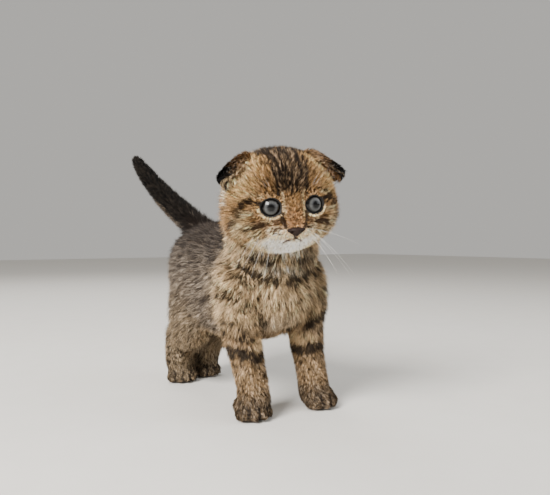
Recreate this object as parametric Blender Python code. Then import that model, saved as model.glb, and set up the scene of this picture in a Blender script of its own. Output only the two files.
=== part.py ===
"""Scottish fold kitten of about six weeks, standing with its head turned, as a life-size still model.

The cat faces -Y, its left side is at +X, and it stands on the plane Z = 0.
Lengths are in metres and go out to the tips of the coat.
"""

import math

import bmesh
import bpy
import numpy as np
from mathutils import Matrix, Vector

# Driving dimensions
BACK_HEIGHT = 0.119
BELLY_HEIGHT = 0.039
CHEST_FRONT = -0.056
RUMP_END = 0.070
CHEST_HALF_WIDTH = 0.0330
HIP_HALF_WIDTH = 0.0310
HEAD_HALF_WIDTH = 0.0328
HEAD_HALF_HEIGHT = 0.0300
HEAD_HALF_LENGTH = 0.0295
EYE_RADIUS = 0.0072
EYE_OPENING = 0.0050
EYE_FLATNESS = 0.88
TAIL_REACH = 0.0725
PAW_HEIGHT = 0.0165

# Pose of the head: the place of its centre, and its turns in degrees
HEAD_CENTRE = Vector((-0.0117, -0.0640, 0.1274))
HEAD_TURN = -18.6
HEAD_NOD = 5.0
HEAD_TILT = -5.0

# The midpoint of the standing kitten's box, which becomes the origin
BOX_MIDDLE = Vector((-0.0048, 0.0126, 0.0))

# How the solids meet, and how fine they are
GAP = 0.0003
VOXEL = 0.0011
BODY_SHARE = 0.041
HEAD_SHARE = 0.165
EAR_SHARE = 0.5
TURN = 2 * math.pi

COATS = {
    "brown_tabby": (0.30, 0.22, 0.15),
    "grey_tabby": (0.22, 0.18, 0.14),
    "sandy_legs": (0.33, 0.24, 0.15),
    "dark_ear": (0.10, 0.07, 0.045),
    "dark_tail": (0.07, 0.06, 0.05),
    "nose_leather": (0.045, 0.025, 0.020),
    "eye": (0.16, 0.17, 0.16),
}


def clear_scene():
    for obj in list(bpy.data.objects):
        bpy.data.objects.remove(obj)


def make_materials():
    made = {}
    for name, colour in COATS.items():
        material = bpy.data.materials.new(name)
        material.use_nodes = True
        shader = material.node_tree.nodes["Principled BSDF"]
        shader.inputs["Base Color"].default_value = (*colour, 1)
        shader.inputs["Roughness"].default_value = 0.15 if name == "eye" else 0.8
        made[name] = material
    return made


def smooth_rows(rows, count):
    """Rows of numbers read from a smooth curve that passes through the given rows."""
    rows = np.array(rows, float)
    padded = np.vstack([2 * rows[0] - rows[1], rows, 2 * rows[-1] - rows[-2]])
    place = np.linspace(0, len(rows) - 1, count)
    first = np.minimum(place.astype(int), len(rows) - 2)
    t = (place - first)[:, None]
    a, b, c, d = (padded[first + k] for k in range(4))
    bend = 3 * b - a - 3 * c + d
    return 0.5 * (2 * b + (c - a) * t + (2 * a - 5 * b + 4 * c - d) * t**2 + bend * t**3)


def unit(rows):
    return rows / np.linalg.norm(rows, axis=-1, keepdims=True)


def closed_mesh(name, points, faces):
    """A mesh object whose faces all look outward."""
    mesh = bpy.data.meshes.new(name)
    mesh.from_pydata(np.asarray(points).tolist(), [], faces)
    obj = bpy.data.objects.new(name, mesh)
    bpy.context.scene.collection.objects.link(obj)
    form = bmesh.new()
    form.from_mesh(mesh)
    bmesh.ops.recalc_face_normals(form, faces=form.faces)
    if form.calc_volume(signed=True) < 0:
        bmesh.ops.reverse_faces(form, faces=form.faces)
    form.to_mesh(mesh)
    form.free()
    return obj


def mesh_of_rings(name, rings, start, end):
    """A closed mesh object from rings of points, with a fan of triangles to a point at each end."""
    count, sides, _ = rings.shape
    points = np.vstack([rings.reshape(-1, 3), start, end])
    first = np.arange(sides)
    following = (first + 1) % sides
    faces = []
    for ring in range(count - 1):
        low, high = ring * sides, (ring + 1) * sides
        faces += np.stack([low + first, low + following, high + following, high + first], 1).tolist()
    last = (count - 1) * sides
    tip = count * sides
    faces += np.stack([following, first, np.full(sides, tip)], 1).tolist()
    faces += np.stack([last + first, last + following, np.full(sides, tip + 1)], 1).tolist()
    return closed_mesh(name, points, faces)


def tube(name, stations, rings=26, sides=36, blunt=1.0, square=2.0):
    """A body part carried along a path. Each station is x, y, z, half width and half depth.

    The ends are rounded over a length of blunt times the end's own half depth.
    """
    rows = smooth_rows(stations, rings)
    centres, sizes = rows[:, :3], np.maximum(rows[:, 3:5], 0.001)
    along = unit(np.gradient(centres, axis=0))
    across = np.array([1.0, 0.0, 0.0]) - along[:, :1] * along
    across = unit(across)
    upward = np.cross(along, across)
    cap = np.sin(np.linspace(0, math.pi / 2, 6)[1:-1])
    shrink = np.cos(np.linspace(0, math.pi / 2, 6)[1:-1])
    for end, sign in ((0, -1), (-1, 1)):
        reach = blunt * sizes[end].min() * sign * along[end]
        more = centres[end] + cap[:, None] * reach
        smaller = shrink[:, None] * sizes[end]
        frames = [np.repeat(f[[end]], len(cap), 0) for f in (across, upward)]
        if end == 0:
            tip_start = centres[0] + reach
            order = slice(None, None, -1)
            centres = np.vstack([more[order], centres])
            sizes = np.vstack([smaller[order], sizes])
            across, upward = np.vstack([frames[0], across]), np.vstack([frames[1], upward])
            along = np.vstack([np.repeat(along[[0]], len(cap), 0), along])
        else:
            tip_end = centres[-1] + reach
            centres, sizes = np.vstack([centres, more]), np.vstack([sizes, smaller])
            across, upward = np.vstack([across, frames[0]]), np.vstack([upward, frames[1]])
    angle = np.linspace(0, TURN, sides, endpoint=False)
    wide = np.sign(np.cos(angle)) * np.abs(np.cos(angle)) ** (2 / square)
    deep = np.sign(np.sin(angle)) * np.abs(np.sin(angle)) ** (2 / square)
    points = centres[:, None] + across[:, None] * (sizes[:, :1] * wide)[:, :, None]
    points = points + upward[:, None] * (sizes[:, 1:] * deep)[:, :, None]
    return mesh_of_rings(name, points, tip_start, tip_end)


def ball(name, centre, sizes, turn=0.0, rings=14, sides=20):
    """An ellipsoid with half sizes along X, Y and Z, turned about Z."""
    angle = np.linspace(0, math.pi, rings + 2)[1:-1]
    side = np.linspace(0, TURN, sides, endpoint=False)
    points = np.stack(
        [
            np.sin(angle)[:, None] * np.cos(side),
            np.sin(angle)[:, None] * np.sin(side),
            np.cos(angle)[:, None] * np.ones(sides),
        ],
        2,
    )
    turned = np.array(Matrix.Rotation(turn, 3, "Z")).T
    size = np.array(sizes)
    place = np.array(centre)
    poles = [(np.array([0.0, 0.0, z]) * size) @ turned + place for z in (1.0, -1.0)]
    return mesh_of_rings(name, (points * size) @ turned + place, *poles)


def joined(name, objects):
    """The objects' meshes in one object, still as overlapping closed bodies."""
    form = bmesh.new()
    for obj in objects:
        form.from_mesh(obj.data)
        bpy.data.objects.remove(obj)
    mesh = bpy.data.meshes.new(name)
    form.to_mesh(mesh)
    form.free()
    whole = bpy.data.objects.new(name, mesh)
    bpy.context.scene.collection.objects.link(whole)
    return whole


def settle(obj):
    """Puts the object's modifiers into its mesh."""
    graph = bpy.context.evaluated_depsgraph_get()
    mesh = bpy.data.meshes.new_from_object(obj.evaluated_get(graph))
    obj.modifiers.clear()
    obj.data = mesh
    return obj


def modify(obj, kind, **settings):
    modifier = obj.modifiers.new(kind.lower(), kind)
    for key, value in settings.items():
        setattr(modifier, key, value)
    return modifier


def largest_surface(obj):
    """Keeps only the object's largest closed surface."""
    form = bmesh.new()
    form.from_mesh(obj.data)
    form.faces.ensure_lookup_table()
    unseen = set(form.faces)
    groups = []
    while unseen:
        group, edge = [], [unseen.pop()]
        while edge:
            face = edge.pop()
            group.append(face)
            for loop in face.loops:
                for other in loop.edge.link_faces:
                    if other in unseen:
                        unseen.remove(other)
                        edge.append(other)
        groups.append(group)
    groups.sort(key=lambda faces: sum(f.calc_area() for f in faces), reverse=True)
    for group in groups[1:]:
        bmesh.ops.delete(form, geom=group, context="FACES")
    loose = [v for v in form.verts if not v.link_faces]
    bmesh.ops.delete(form, geom=loose, context="VERTS")
    form.to_mesh(obj.data)
    form.free()
    return obj


def boolean(obj, other, operation):
    """Cuts obj by other, or keeps what they share, and puts the result in obj's mesh."""
    modify(obj, "BOOLEAN", operation=operation, object=other, solver="EXACT")
    return largest_surface(settle(obj))


def copy_of(obj, name):
    copy = bpy.data.objects.new(name, obj.data.copy())
    bpy.context.scene.collection.objects.link(copy)
    return copy


def grown(obj, distance):
    """A copy of the object with its surface moved out by the distance."""
    copy = copy_of(obj, obj.name + "_grown")
    modify(copy, "DISPLACE", strength=distance, mid_level=0.0)
    return settle(copy)


def block(name, corners):
    """A solid with six faces, from its four lower and its four upper corners."""
    faces = [(0, 3, 2, 1), (4, 5, 6, 7), (0, 1, 5, 4), (1, 2, 6, 5), (2, 3, 7, 6), (3, 0, 4, 7)]
    return closed_mesh(name, corners, faces)


def slant_block(name, x_span, y_span, floor, inner_top, outer_top):
    """A block whose top slopes from inner_top at the first x to outer_top at the second."""
    (x0, x1), (y0, y1) = x_span, y_span
    lower = [(x0, y0, floor), (x1, y0, floor), (x1, y1, floor), (x0, y1, floor)]
    upper = [(x0, y0, inner_top), (x1, y0, outer_top), (x1, y1, outer_top), (x0, y1, inner_top)]
    return block(name, lower + upper)


def take_off(body, name, region, wider_region, material):
    """Parts a node from the body: what lies in the region, while the body loses the wider region."""
    node = boolean(copy_of(body, name), region, "INTERSECT")
    boolean(body, wider_region, "DIFFERENCE")
    for helper in (region, wider_region):
        bpy.data.objects.remove(helper)
    node.data.materials.clear()
    node.data.materials.append(material)
    return node


def torso_tube():
    """Chest, belly and rump, carried along the back from the breast to the buttocks."""
    middle = (BACK_HEIGHT + BELLY_HEIGHT) / 2
    depth = (BACK_HEIGHT - BELLY_HEIGHT) / 2
    length = RUMP_END - CHEST_FRONT
    stations = []
    for share, rise, width, height in (
        (0.05, -0.002, 0.72, 0.67),
        (0.13, -0.001, 0.95, 0.87),
        (0.26, 0.000, 1.00, 0.96),
        (0.45, -0.001, 0.97, 0.99),
        (0.62, 0.001, 1.00, 0.98),
        (0.78, 0.005, 0.95, 0.87),
        (0.90, 0.009, 0.74, 0.67),
    ):
        half_width = CHEST_HALF_WIDTH + (HIP_HALF_WIDTH - CHEST_HALF_WIDTH) * share
        place = (0.0, CHEST_FRONT + length * share, middle + rise)
        stations.append((*place, half_width * width, depth * height))
    return tube("torso_form", stations, rings=40, sides=56, blunt=0.75, square=2.15)


def neck_tube():
    """The short neck with its ruff, from between the shoulders into the back of the head."""
    head = HEAD_CENTRE
    stations = [
        (0.0, -0.020, 0.078, 0.0310, 0.0310),
        (0.0, -0.033, 0.090, 0.0320, 0.0290),
        (-0.002, -0.044, 0.104, 0.0310, 0.0270),
        (head.x + 0.002, head.y + 0.012, head.z - 0.006, 0.0285, 0.0255),
    ]
    return tube("neck_form", stations, rings=24, sides=44, blunt=0.6)


def tail_point(share):
    """A point on the tail's middle line: back, up and to the right, steeper toward the tip."""
    reach = share * TAIL_REACH
    rise = 0.66 * reach + 33 * reach**3
    return Vector((-0.34 * reach, 0.052 + 0.94 * reach, 0.1124 + rise))


def tail_tube():
    """The raised tail, broad at its root and tapered to a rounded tip."""
    stations = []
    for share, half_width in (
        (-0.06, 0.0122),
        (0.14, 0.0107),
        (0.32, 0.0098),
        (0.50, 0.0090),
        (0.68, 0.0079),
        (0.84, 0.0066),
        (0.95, 0.0050),
    ):
        stations.append((*tail_point(share), half_width, half_width))
    return tube("tail_form", stations, rings=30, sides=28, blunt=1.0)


def paw_forms(name, toes, turn, half_width, length):
    """A paw: its back, the wrist end and four toes side by side, the middle two foremost."""
    facing = Matrix.Rotation(turn, 3, "Z")
    forms = []
    back = toes + facing @ Vector((0, 0.62 * length, 0.0075))
    forms.append(ball(name + "_back", back, (half_width * 0.96, length * 0.56, 0.0082), turn))
    for index, share in enumerate((-0.72, -0.25, 0.25, 0.72)):
        set_back = 0.0030 if abs(share) > 0.5 else 0.0
        place = toes + facing @ Vector((share * half_width, 0.0055 + set_back, 0.0042))
        size = (half_width * 0.29, 0.0062, 0.0052)
        forms.append(ball(f"{name}_toe_{index}", place, size, turn - share * 0.25))
    return forms


def front_leg_forms(name, side, wrist, toes, turn):
    """A front leg from the shoulder down to the wrist, and its paw."""
    stations = [
        (side * 0.0195, -0.0385, 0.090, 0.0160, 0.0165),
        (side * 0.0225, -0.0410, 0.080, 0.0168, 0.0175),
        (side * 0.0240, -0.0420, 0.067, 0.0160, 0.0170),
        (side * 0.0235, -0.0435, 0.052, 0.0130, 0.0140),
        ((side * 0.0235 + wrist.x) / 2, -0.0450, 0.036, 0.0110, 0.0115),
        (wrist.x, wrist.y + 0.001, wrist.z + 0.004, 0.0103, 0.0103),
        (wrist.x, wrist.y - 0.002, wrist.z - 0.008, 0.0104, 0.0104),
    ]
    leg = tube(name + "_leg_form", stations, rings=30, sides=28, blunt=0.6)
    return [leg] + paw_forms(name, toes, turn, 0.0114, 0.0210)


def hind_leg_forms(name, side, hock, toes, turn):
    """A hind leg: thigh, shank down to the hock, and the foot that stands on its toes."""
    thigh = ball(name + "_thigh", (side * 0.0172, 0.0350, 0.066), (0.0148, 0.0235, 0.0290))
    facing = Matrix.Rotation(turn, 3, "Z")
    instep = toes + facing @ Vector((0, 0.013, 0.0090))
    stations = [
        (side * 0.0190, 0.0310, 0.056, 0.0130, 0.0180),
        (side * 0.0182, 0.0370, 0.044, 0.0125, 0.0165),
        (hock.x + side * 0.001, hock.y - 0.007, hock.z + 0.006, 0.0112, 0.0132),
        (hock.x, hock.y - 0.003, hock.z - 0.008, 0.0100, 0.0105),
        (*instep, 0.0103, 0.0098),
    ]
    leg = tube(name + "_leg_form", stations, rings=30, sides=28, blunt=0.5)
    return [thigh, leg] + paw_forms(name, toes, turn, 0.0110, 0.0200)


def grab(points, centre, reach, pull):
    """Pulls the points near the centre, most at the centre and not at all past the reach."""
    share = np.clip(1 - (((points - centre) / reach) ** 2).sum(-1), 0, None) ** 2
    return points + share[..., None] * np.array(pull)


def mouth_line():
    """The philtrum and the two drooping halves of the mouth, seen from the front as X and Z."""
    side = np.linspace(0, 1, 12)
    half = np.stack([0.0052 * side, -0.0187 - 0.0020 * side**1.6], 1)
    stem = np.stack([np.zeros(6), np.linspace(-0.0158, -0.0187, 6)], 1)
    return np.vstack([stem, half, half * [-1, 1]])


def eye_places():
    """Each eye's centre and the way that it looks, in the head's own frame."""
    places = {}
    for name, side in (("left", 1), ("right", -1)):
        centre = np.array([side * 0.0111, -0.0221, -0.0019])
        look = np.array([side * 0.20, -1.0, -0.01])
        places[name] = (centre, look / np.linalg.norm(look))
    return places


def head_points(rings, sides):
    """The head's surface as a function of the angle from the muzzle and the angle round it.

    An ellipsoid is pulled out at the cheeks, brow, muzzle, whisker pads and chin, sunk round
    the eyes, raised into lids, and grooved along the mouth.
    """
    droop = math.radians(16)
    forward = np.array([0.0, -math.cos(droop), -math.sin(droop)])
    sideways = np.array([1.0, 0.0, 0.0])
    upward = np.cross(sideways, forward)
    step = np.linspace(0, 1, rings + 2)
    angle = (math.pi * (0.55 * step + 0.45 * step**2))[:, None]
    round_ = np.linspace(0, TURN, sides, endpoint=False)[None, :]
    ray = (
        np.cos(angle)[..., None] * forward
        + (np.sin(angle) * np.cos(round_))[..., None] * sideways
        + (np.sin(angle) * np.sin(round_))[..., None] * upward
    )
    half = np.array([HEAD_HALF_WIDTH, HEAD_HALF_LENGTH, HEAD_HALF_HEIGHT])
    points = ray / ((np.abs(ray / half) ** 2.15).sum(-1) ** (1 / 2.15))[..., None]
    for side in (1, -1):
        points = grab(points, (side * 0.026, -0.006, -0.010), 0.021, (side * 0.0022, -0.001, -0.0010))
    points = grab(points, (0, -0.021, 0.017), 0.022, (0, -0.0016, 0.0008))
    for side in (1, -1):
        points = grab(points, (side * 0.011, -0.004, 0.028), 0.022, (0, 0, 0.0011))
    points = grab(points, (0, -0.027, -0.0150), 0.0175, (0, -0.0042, -0.0006))
    points = grab(points, (0, -0.029, -0.0050), (0.0080, 0.014, 0.0125), (0, -0.0018, 0))
    for side in (1, -1):
        points = grab(points, (side * 0.0055, -0.033, -0.0168), 0.0080, (side * 0.0014, -0.0020, -0.0004))
    points = grab(points, (0, -0.028, -0.0245), 0.0085, (0, -0.0036, -0.0002))
    for centre, look in eye_places().values():
        points = set_lid(points, centre, look)
    line = mouth_line()
    offset = np.linalg.norm(points[..., None, [0, 2]] - line, axis=-1).min(-1)
    groove = np.exp(-((offset / 0.0008) ** 2)) * (points[..., 1] < -0.02)
    points[..., 1] += 0.0013 * groove
    return points


def set_lid(points, centre, look):
    """Shapes the face round one eye: a dish down to the eyeball, with a raised rim as its lids."""
    from_eye = points - centre
    ahead = from_eye @ look
    across = from_eye - ahead[..., None] * look
    away = np.linalg.norm(across, axis=-1) + 1e-9
    aside = np.linalg.norm(across / [1, 1, EYE_FLATNESS], axis=-1) + 1e-9
    rim_plane = np.sqrt(EYE_RADIUS**2 - (EYE_OPENING * away / aside) ** 2)
    rim = 0.0011 * np.exp(-(((aside - EYE_OPENING - 0.0009) / 0.0010) ** 2))
    wanted = rim_plane + rim - 0.0012 * np.clip(1 - aside / EYE_OPENING, 0, 1)
    wanted = wanted + 0.10 * np.clip(aside - EYE_OPENING, 0, None)
    hold = np.clip((0.0100 - aside) / 0.0040, 0, 1)
    hold = hold * hold * (3 - 2 * hold) * (ahead > 0)
    return points + ((wanted - ahead) * hold)[..., None] * look


def head_placing():
    turn = Matrix.Rotation(math.radians(HEAD_TURN), 4, "Z")
    nod = Matrix.Rotation(math.radians(HEAD_NOD), 4, "X")
    tilt = Matrix.Rotation(math.radians(HEAD_TILT), 4, "Y")
    return Matrix.Translation(HEAD_CENTRE) @ turn @ nod @ tilt


def make_head(rings, sides):
    points = head_points(rings, sides)
    head = mesh_of_rings("head", points[1:-1], points[0].mean(0), points[-1].mean(0))
    head.data.transform(head_placing())
    return head


def nose_form(name, grow=0.0):
    """The nose leather: a small pad, wide above and narrow below, with two nostrils."""
    step = np.linspace(0, math.pi, 14)[1:-1, None]
    round_ = np.linspace(0, TURN, 24, endpoint=False)[None, :]
    x = 0.0047 * np.sin(step) * np.cos(round_)
    z = 0.0032 * np.sin(step) * np.sin(round_)
    y = -0.0034 * np.cos(step) + 0 * round_
    x = x * (1 + 0.14 * z / 0.0032) - 0.30 * x * np.clip(-z / 0.0032, 0, 1)
    points = np.stack([x, y, z], -1)
    for side in (1, -1):
        nostril = (side * 0.0024, -0.0028, -0.0006)
        points = grab(points, nostril, (0.0013, 0.004, 0.0010), (0, 0.0014, 0))
    points = points + grow * unit(points)
    poles = [np.array([0, y_end - math.copysign(grow, -y_end), 0]) for y_end in (-0.0034, 0.0034)]
    place = np.array([0, -0.0308, -0.0147])
    nose = mesh_of_rings(name, points + place, poles[0] + place, poles[1] + place)
    nose.data.transform(head_placing())
    return nose


def shell_between(name, outer, inner):
    """A closed mesh object between two grids of points, joined along their four edges."""
    rows, columns, _ = outer.shape
    index = np.arange(rows * columns).reshape(rows, columns)
    shift = rows * columns
    quads = np.stack([index[:-1, :-1], index[1:, :-1], index[1:, 1:], index[:-1, 1:]], -1)
    faces = quads.reshape(-1, 4).tolist() + (quads.reshape(-1, 4)[:, ::-1] + shift).tolist()
    rim = np.concatenate([index[0], index[1:, -1], index[-1, -2::-1], index[-2:0:-1, 0]])
    after = np.roll(rim, -1)
    faces += np.stack([rim, after, after + shift, rim + shift], 1).tolist()
    return closed_mesh(name, np.vstack([outer.reshape(-1, 3), inner.reshape(-1, 3)]), faces)


def ear_form(name, side, spread):
    """A folded ear: a flap that rises from the head, bends forward and hangs over its own cup.

    Three lines run from the crown out to the tip: the seam where the flap leaves the head, the
    fold along its top and its free rim. Across them the flap is an arc from seam over fold to rim.
    """
    seam = ((11, -2, 25), (18, 1, 22), (23.5, 4, 18.5), (27.5, 5, 14.5), (29.5, 2, 11), (29.5, -2, 9))
    fold = ((12, -5, 25.6), (19, -4.5, 28), (26, -3.5, 24.8), (32, -3.5, 20.3), (36.5, -6, 15.8))
    fold += ((34.5, -7.5, 11.5),)
    rim = ((14, -8.5, 25), (21, -12, 22.8), (26, -13, 20), (30.5, -13, 17.2), (35, -11.5, 13.8))
    rim += ((33.5, -8, 10.2),)
    lines = (seam, fold, rim)
    seam, fold, rim = (smooth_rows(line, 26)[:, None] * 0.001 * [side * spread, 1, 1] for line in lines)
    away = unit(fold)
    t = np.linspace(0, 1, 14)[None, :, None]
    grids = []
    for inset in (0.0, 1.0):
        low = seam - 0.0020 * inset * away
        top = fold - 0.0027 * inset * away
        edge = rim - 0.0014 * inset * away
        control = 2 * top - (low + edge) / 2
        grids.append((1 - t) ** 2 * low + 2 * t * (1 - t) * control + t**2 * edge)
    ear = shell_between(name, *grids)
    ear.data.transform(head_placing())
    return ear


def make_eye(name, centre):
    eye = ball("eye_" + name, centre, (EYE_RADIUS,) * 3, rings=11, sides=20)
    eye.data.transform(head_placing())
    eye.data.shade_smooth()
    return eye


def make_body():
    """All flesh but the head and ears, as one smooth closed surface."""
    forms = [torso_tube(), neck_tube(), tail_tube()]
    forms += front_leg_forms(
        "front_right", -1, Vector((-0.0185, -0.0478, 0.018)), Vector((-0.0208, -0.0603, 0)), -0.12
    )
    forms += front_leg_forms(
        "front_left", 1, Vector((0.0265, -0.0478, 0.018)), Vector((0.0300, -0.0632, 0)), 0.15
    )
    forms += hind_leg_forms(
        "hind_right", -1, Vector((-0.0140, 0.0640, 0.028)), Vector((-0.0150, 0.0500, 0)), -0.35
    )
    forms += hind_leg_forms(
        "hind_left", 1, Vector((0.0140, 0.0690, 0.028)), Vector((0.0150, 0.0560, 0)), 0.20
    )
    body = joined("torso", forms)
    modify(body, "REMESH", mode="VOXEL", voxel_size=VOXEL)
    settle(body)
    soft = body.vertex_groups.new(name="soft")
    for vertex in body.data.vertices:
        soft.add([vertex.index], min(max((vertex.co.z - 0.004) / 0.030, 0.12), 1.0), "REPLACE")
    modify(body, "SMOOTH", factor=0.6, iterations=26, vertex_group="soft")
    modify(body, "DECIMATE", ratio=BODY_SHARE, use_collapse_triangulate=True)
    settle(body)
    return largest_surface(body)


def make_head_nodes(materials):
    """The head with its lids and mouth, the eyes in their sockets, the nose leather and the ears."""
    head = make_head(84, 112)
    coarse = head.vertex_groups.new(name="coarse")
    ahead = head_placing().inverted()
    for vertex in head.data.vertices:
        depth = (ahead @ vertex.co).y + 0.0200
        coarse.add([vertex.index], min(max(0.72 + depth / 0.030, 0.72), 1.0), "REPLACE")
    modify(head, "DECIMATE", ratio=HEAD_SHARE, vertex_group="coarse", use_collapse_triangulate=True)
    settle(head)
    head.data.materials.append(materials["brown_tabby"])
    wider_head = grown(head, GAP)
    nodes = {"head": head}
    for name, side, spread in (("left", 1, 1.03), ("right", -1, 0.96)):
        ear = ear_form("ear_" + name, side, spread)
        boolean(ear, wider_head, "DIFFERENCE")
        modify(ear, "DECIMATE", ratio=EAR_SHARE, use_collapse_triangulate=True)
        settle(ear)
        ear.data.materials.append(materials["dark_ear"])
        nodes[ear.name] = ear
    for name, (centre, _) in eye_places().items():
        socket = ball("socket", centre, (EYE_RADIUS + GAP,) * 3, rings=13, sides=24)
        socket.data.transform(head_placing())
        boolean(head, socket, "DIFFERENCE")
        bpy.data.objects.remove(socket)
        eye = make_eye(name, centre)
        eye.data.materials.append(materials["eye"])
        nodes[eye.name] = eye
    seat = nose_form("nose_seat", GAP)
    boolean(head, seat, "DIFFERENCE")
    bpy.data.objects.remove(seat)
    nose = nose_form("nose")
    nose.data.materials.append(materials["nose_leather"])
    nodes["nose"] = nose
    return nodes, wider_head


def half_ball(side, place, radius, low, high):
    """A ball's share on one side of the middle plane, under a plane that rises outwards."""
    region = ball("region", (side * place[0], place[1], place[2]), (radius,) * 3, rings=22, sides=36)
    x_span = (side * 0.0012, side * 0.060)
    below = slant_block("below", x_span, (-0.15, 0.15), -0.08, low, high)
    boolean(region, below, "INTERSECT")
    bpy.data.objects.remove(below)
    return region


def part_legs(body, materials):
    """Parts the legs from the torso and the paws from the legs."""
    sandy = materials["sandy_legs"]
    cuts = (
        ("front", (0.0225, -0.0480, 0.0), 0.047, 0.060, 0.060),
        ("hind", (0.0220, 0.0520, 0.028), 0.050, 0.036, 0.106),
    )
    for end, place, radius, low, high in cuts:
        for name, side in (("left", 1), ("right", -1)):
            regions = [
                half_ball(side, place, radius + more, low + 1.6 * more, high + 1.6 * more)
                for more in (0.0, GAP)
            ]
            leg = take_off(body, f"leg_{end}_{name}", *regions, sandy)
            part_paw(leg, f"paw_{end}_{name}", sandy)


def part_paw(leg, name, material):
    """Parts a paw from its leg at the wrist and cuts its sole flat."""
    wide = ((-0.1, 0.1), (-0.1, 0.1))
    paw_region = slant_block("region", *wide, 0.0, PAW_HEIGHT, PAW_HEIGHT)
    above = slant_block("above", *wide, PAW_HEIGHT + GAP, 0.15, 0.15)
    paw = boolean(copy_of(leg, name), paw_region, "INTERSECT")
    paw.data.materials.clear()
    paw.data.materials.append(material)
    boolean(leg, above, "INTERSECT")
    for helper in (paw_region, above):
        bpy.data.objects.remove(helper)


def oriented_block(name, base, direction, half_size, length):
    """A block that starts at the base and runs on along the direction."""
    turn = direction.to_track_quat("Z", "Y").to_matrix()
    corners = []
    for along in (0.0, length):
        for x, y in ((-1, -1), (1, -1), (1, 1), (-1, 1)):
            corners.append(base + turn @ Vector((x * half_size, y * half_size, along)))
    return block(name, corners)


def part_tail(body, materials):
    """Parts the tail at its root, and its dark end from its paler first half."""
    ahead = body
    for name, share, coat in (("tail_root", 0.10, "grey_tabby"), ("tail_end", 0.56, "dark_tail")):
        direction = (tail_point(share + 0.05) - tail_point(share - 0.05)).normalized()
        regions = [
            oriented_block("region", tail_point(share) - direction * less, direction, 0.0145, 0.12)
            for less in (0.0, GAP)
        ]
        ahead = take_off(ahead, name, *regions, materials[coat])


def part_neck(body, wider_head, materials):
    """Clears the head's place, then parts the neck from the torso along a ball round the head."""
    boolean(body, wider_head, "DIFFERENCE")
    regions = [
        ball("region", HEAD_CENTRE + Vector((0.006, 0, 0)), (0.0475 + more,) * 3, rings=22, sides=36)
        for more in (0.0, GAP)
    ]
    take_off(body, "neck", *regions, materials["brown_tabby"])


def stand_on_origin():
    """Moves every mesh so that the box's middle is at the origin."""
    for obj in bpy.data.objects:
        obj.data.transform(Matrix.Translation(-BOX_MIDDLE))
        obj.data.update()


def main():
    clear_scene()
    materials = make_materials()
    body = make_body()
    body.data.materials.append(materials["grey_tabby"])
    nodes, wider_head = make_head_nodes(materials)
    part_neck(body, wider_head, materials)
    bpy.data.objects.remove(wider_head)
    part_tail(body, materials)
    part_legs(body, materials)
    stand_on_origin()


main()
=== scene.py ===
import math

import bpy
import numpy as np
from mathutils import Matrix, Vector


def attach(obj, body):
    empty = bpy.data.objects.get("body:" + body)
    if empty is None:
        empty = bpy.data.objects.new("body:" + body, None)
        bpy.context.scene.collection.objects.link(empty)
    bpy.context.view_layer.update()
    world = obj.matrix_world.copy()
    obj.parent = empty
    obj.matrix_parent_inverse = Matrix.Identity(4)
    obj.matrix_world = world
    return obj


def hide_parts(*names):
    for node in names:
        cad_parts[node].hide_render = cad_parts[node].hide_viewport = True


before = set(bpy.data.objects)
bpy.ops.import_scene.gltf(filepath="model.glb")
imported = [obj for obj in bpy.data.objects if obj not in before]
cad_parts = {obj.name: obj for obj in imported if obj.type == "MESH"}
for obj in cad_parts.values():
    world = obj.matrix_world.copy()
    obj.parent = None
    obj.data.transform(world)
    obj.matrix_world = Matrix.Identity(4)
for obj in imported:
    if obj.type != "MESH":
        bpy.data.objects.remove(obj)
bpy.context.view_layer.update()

# The kitten faces -Y with its left side at +X and stands on Z = 0; lengths are metres.
# Forms are worked out in the kitten's own frame and then moved so that its box is centred.
boxMiddle = np.array([-0.0048, 0.0126, 0.0])
mm = 0.001

kitten = {
    "backHeight": 0.119, "bellyHeight": 0.039, "chestFront": -0.056, "rumpEnd": 0.070,
    "chestHalfWidth": 0.0330, "hipHalfWidth": 0.0310,
    "headHalf": (0.0328, 0.0295, 0.0300), "headCentre": (-0.0117, -0.0640, 0.1274),
    "headTurn": -18.6, "headNod": 5.0, "headTilt": -5.0, "nose": (0, -0.0308, -0.0147),
    "eyeRadius": 0.0072, "eyeOpening": 0.0050, "eyeFlatness": 0.88, "tailReach": 0.0725,
}
headCentre = np.array(kitten["headCentre"])


def unit(rows):
    return rows / np.maximum(np.linalg.norm(rows, axis=-1, keepdims=True), 1e-12)


def smoothStep(low, high, value):
    # 0 below low, 1 above high and an S curve between
    t = np.clip((value - low) / (high - low), 0, 1)
    return t * t * (3 - 2 * t)


def mix(first, second, share):
    return first + (second - first) * np.asarray(share)[..., None]


def turned(axis, angle):
    # the matrix that turns a column vector about one axis
    c, s = math.cos(angle), math.sin(angle)
    return {
        "X": np.array([[1, 0, 0], [0, c, -s], [0, s, c]]),
        "Y": np.array([[c, 0, s], [0, 1, 0], [-s, 0, c]]),
        "Z": np.array([[c, -s, 0], [s, c, 0], [0, 0, 1]]),
    }[axis]


headAxes = (
    turned("Z", math.radians(kitten["headTurn"]))
    @ turned("X", math.radians(kitten["headNod"]))
    @ turned("Y", math.radians(kitten["headTilt"]))
)


def fromHead(points):
    return points @ headAxes.T + headCentre


def toHead(points):
    return (points - headCentre) @ headAxes


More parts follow.
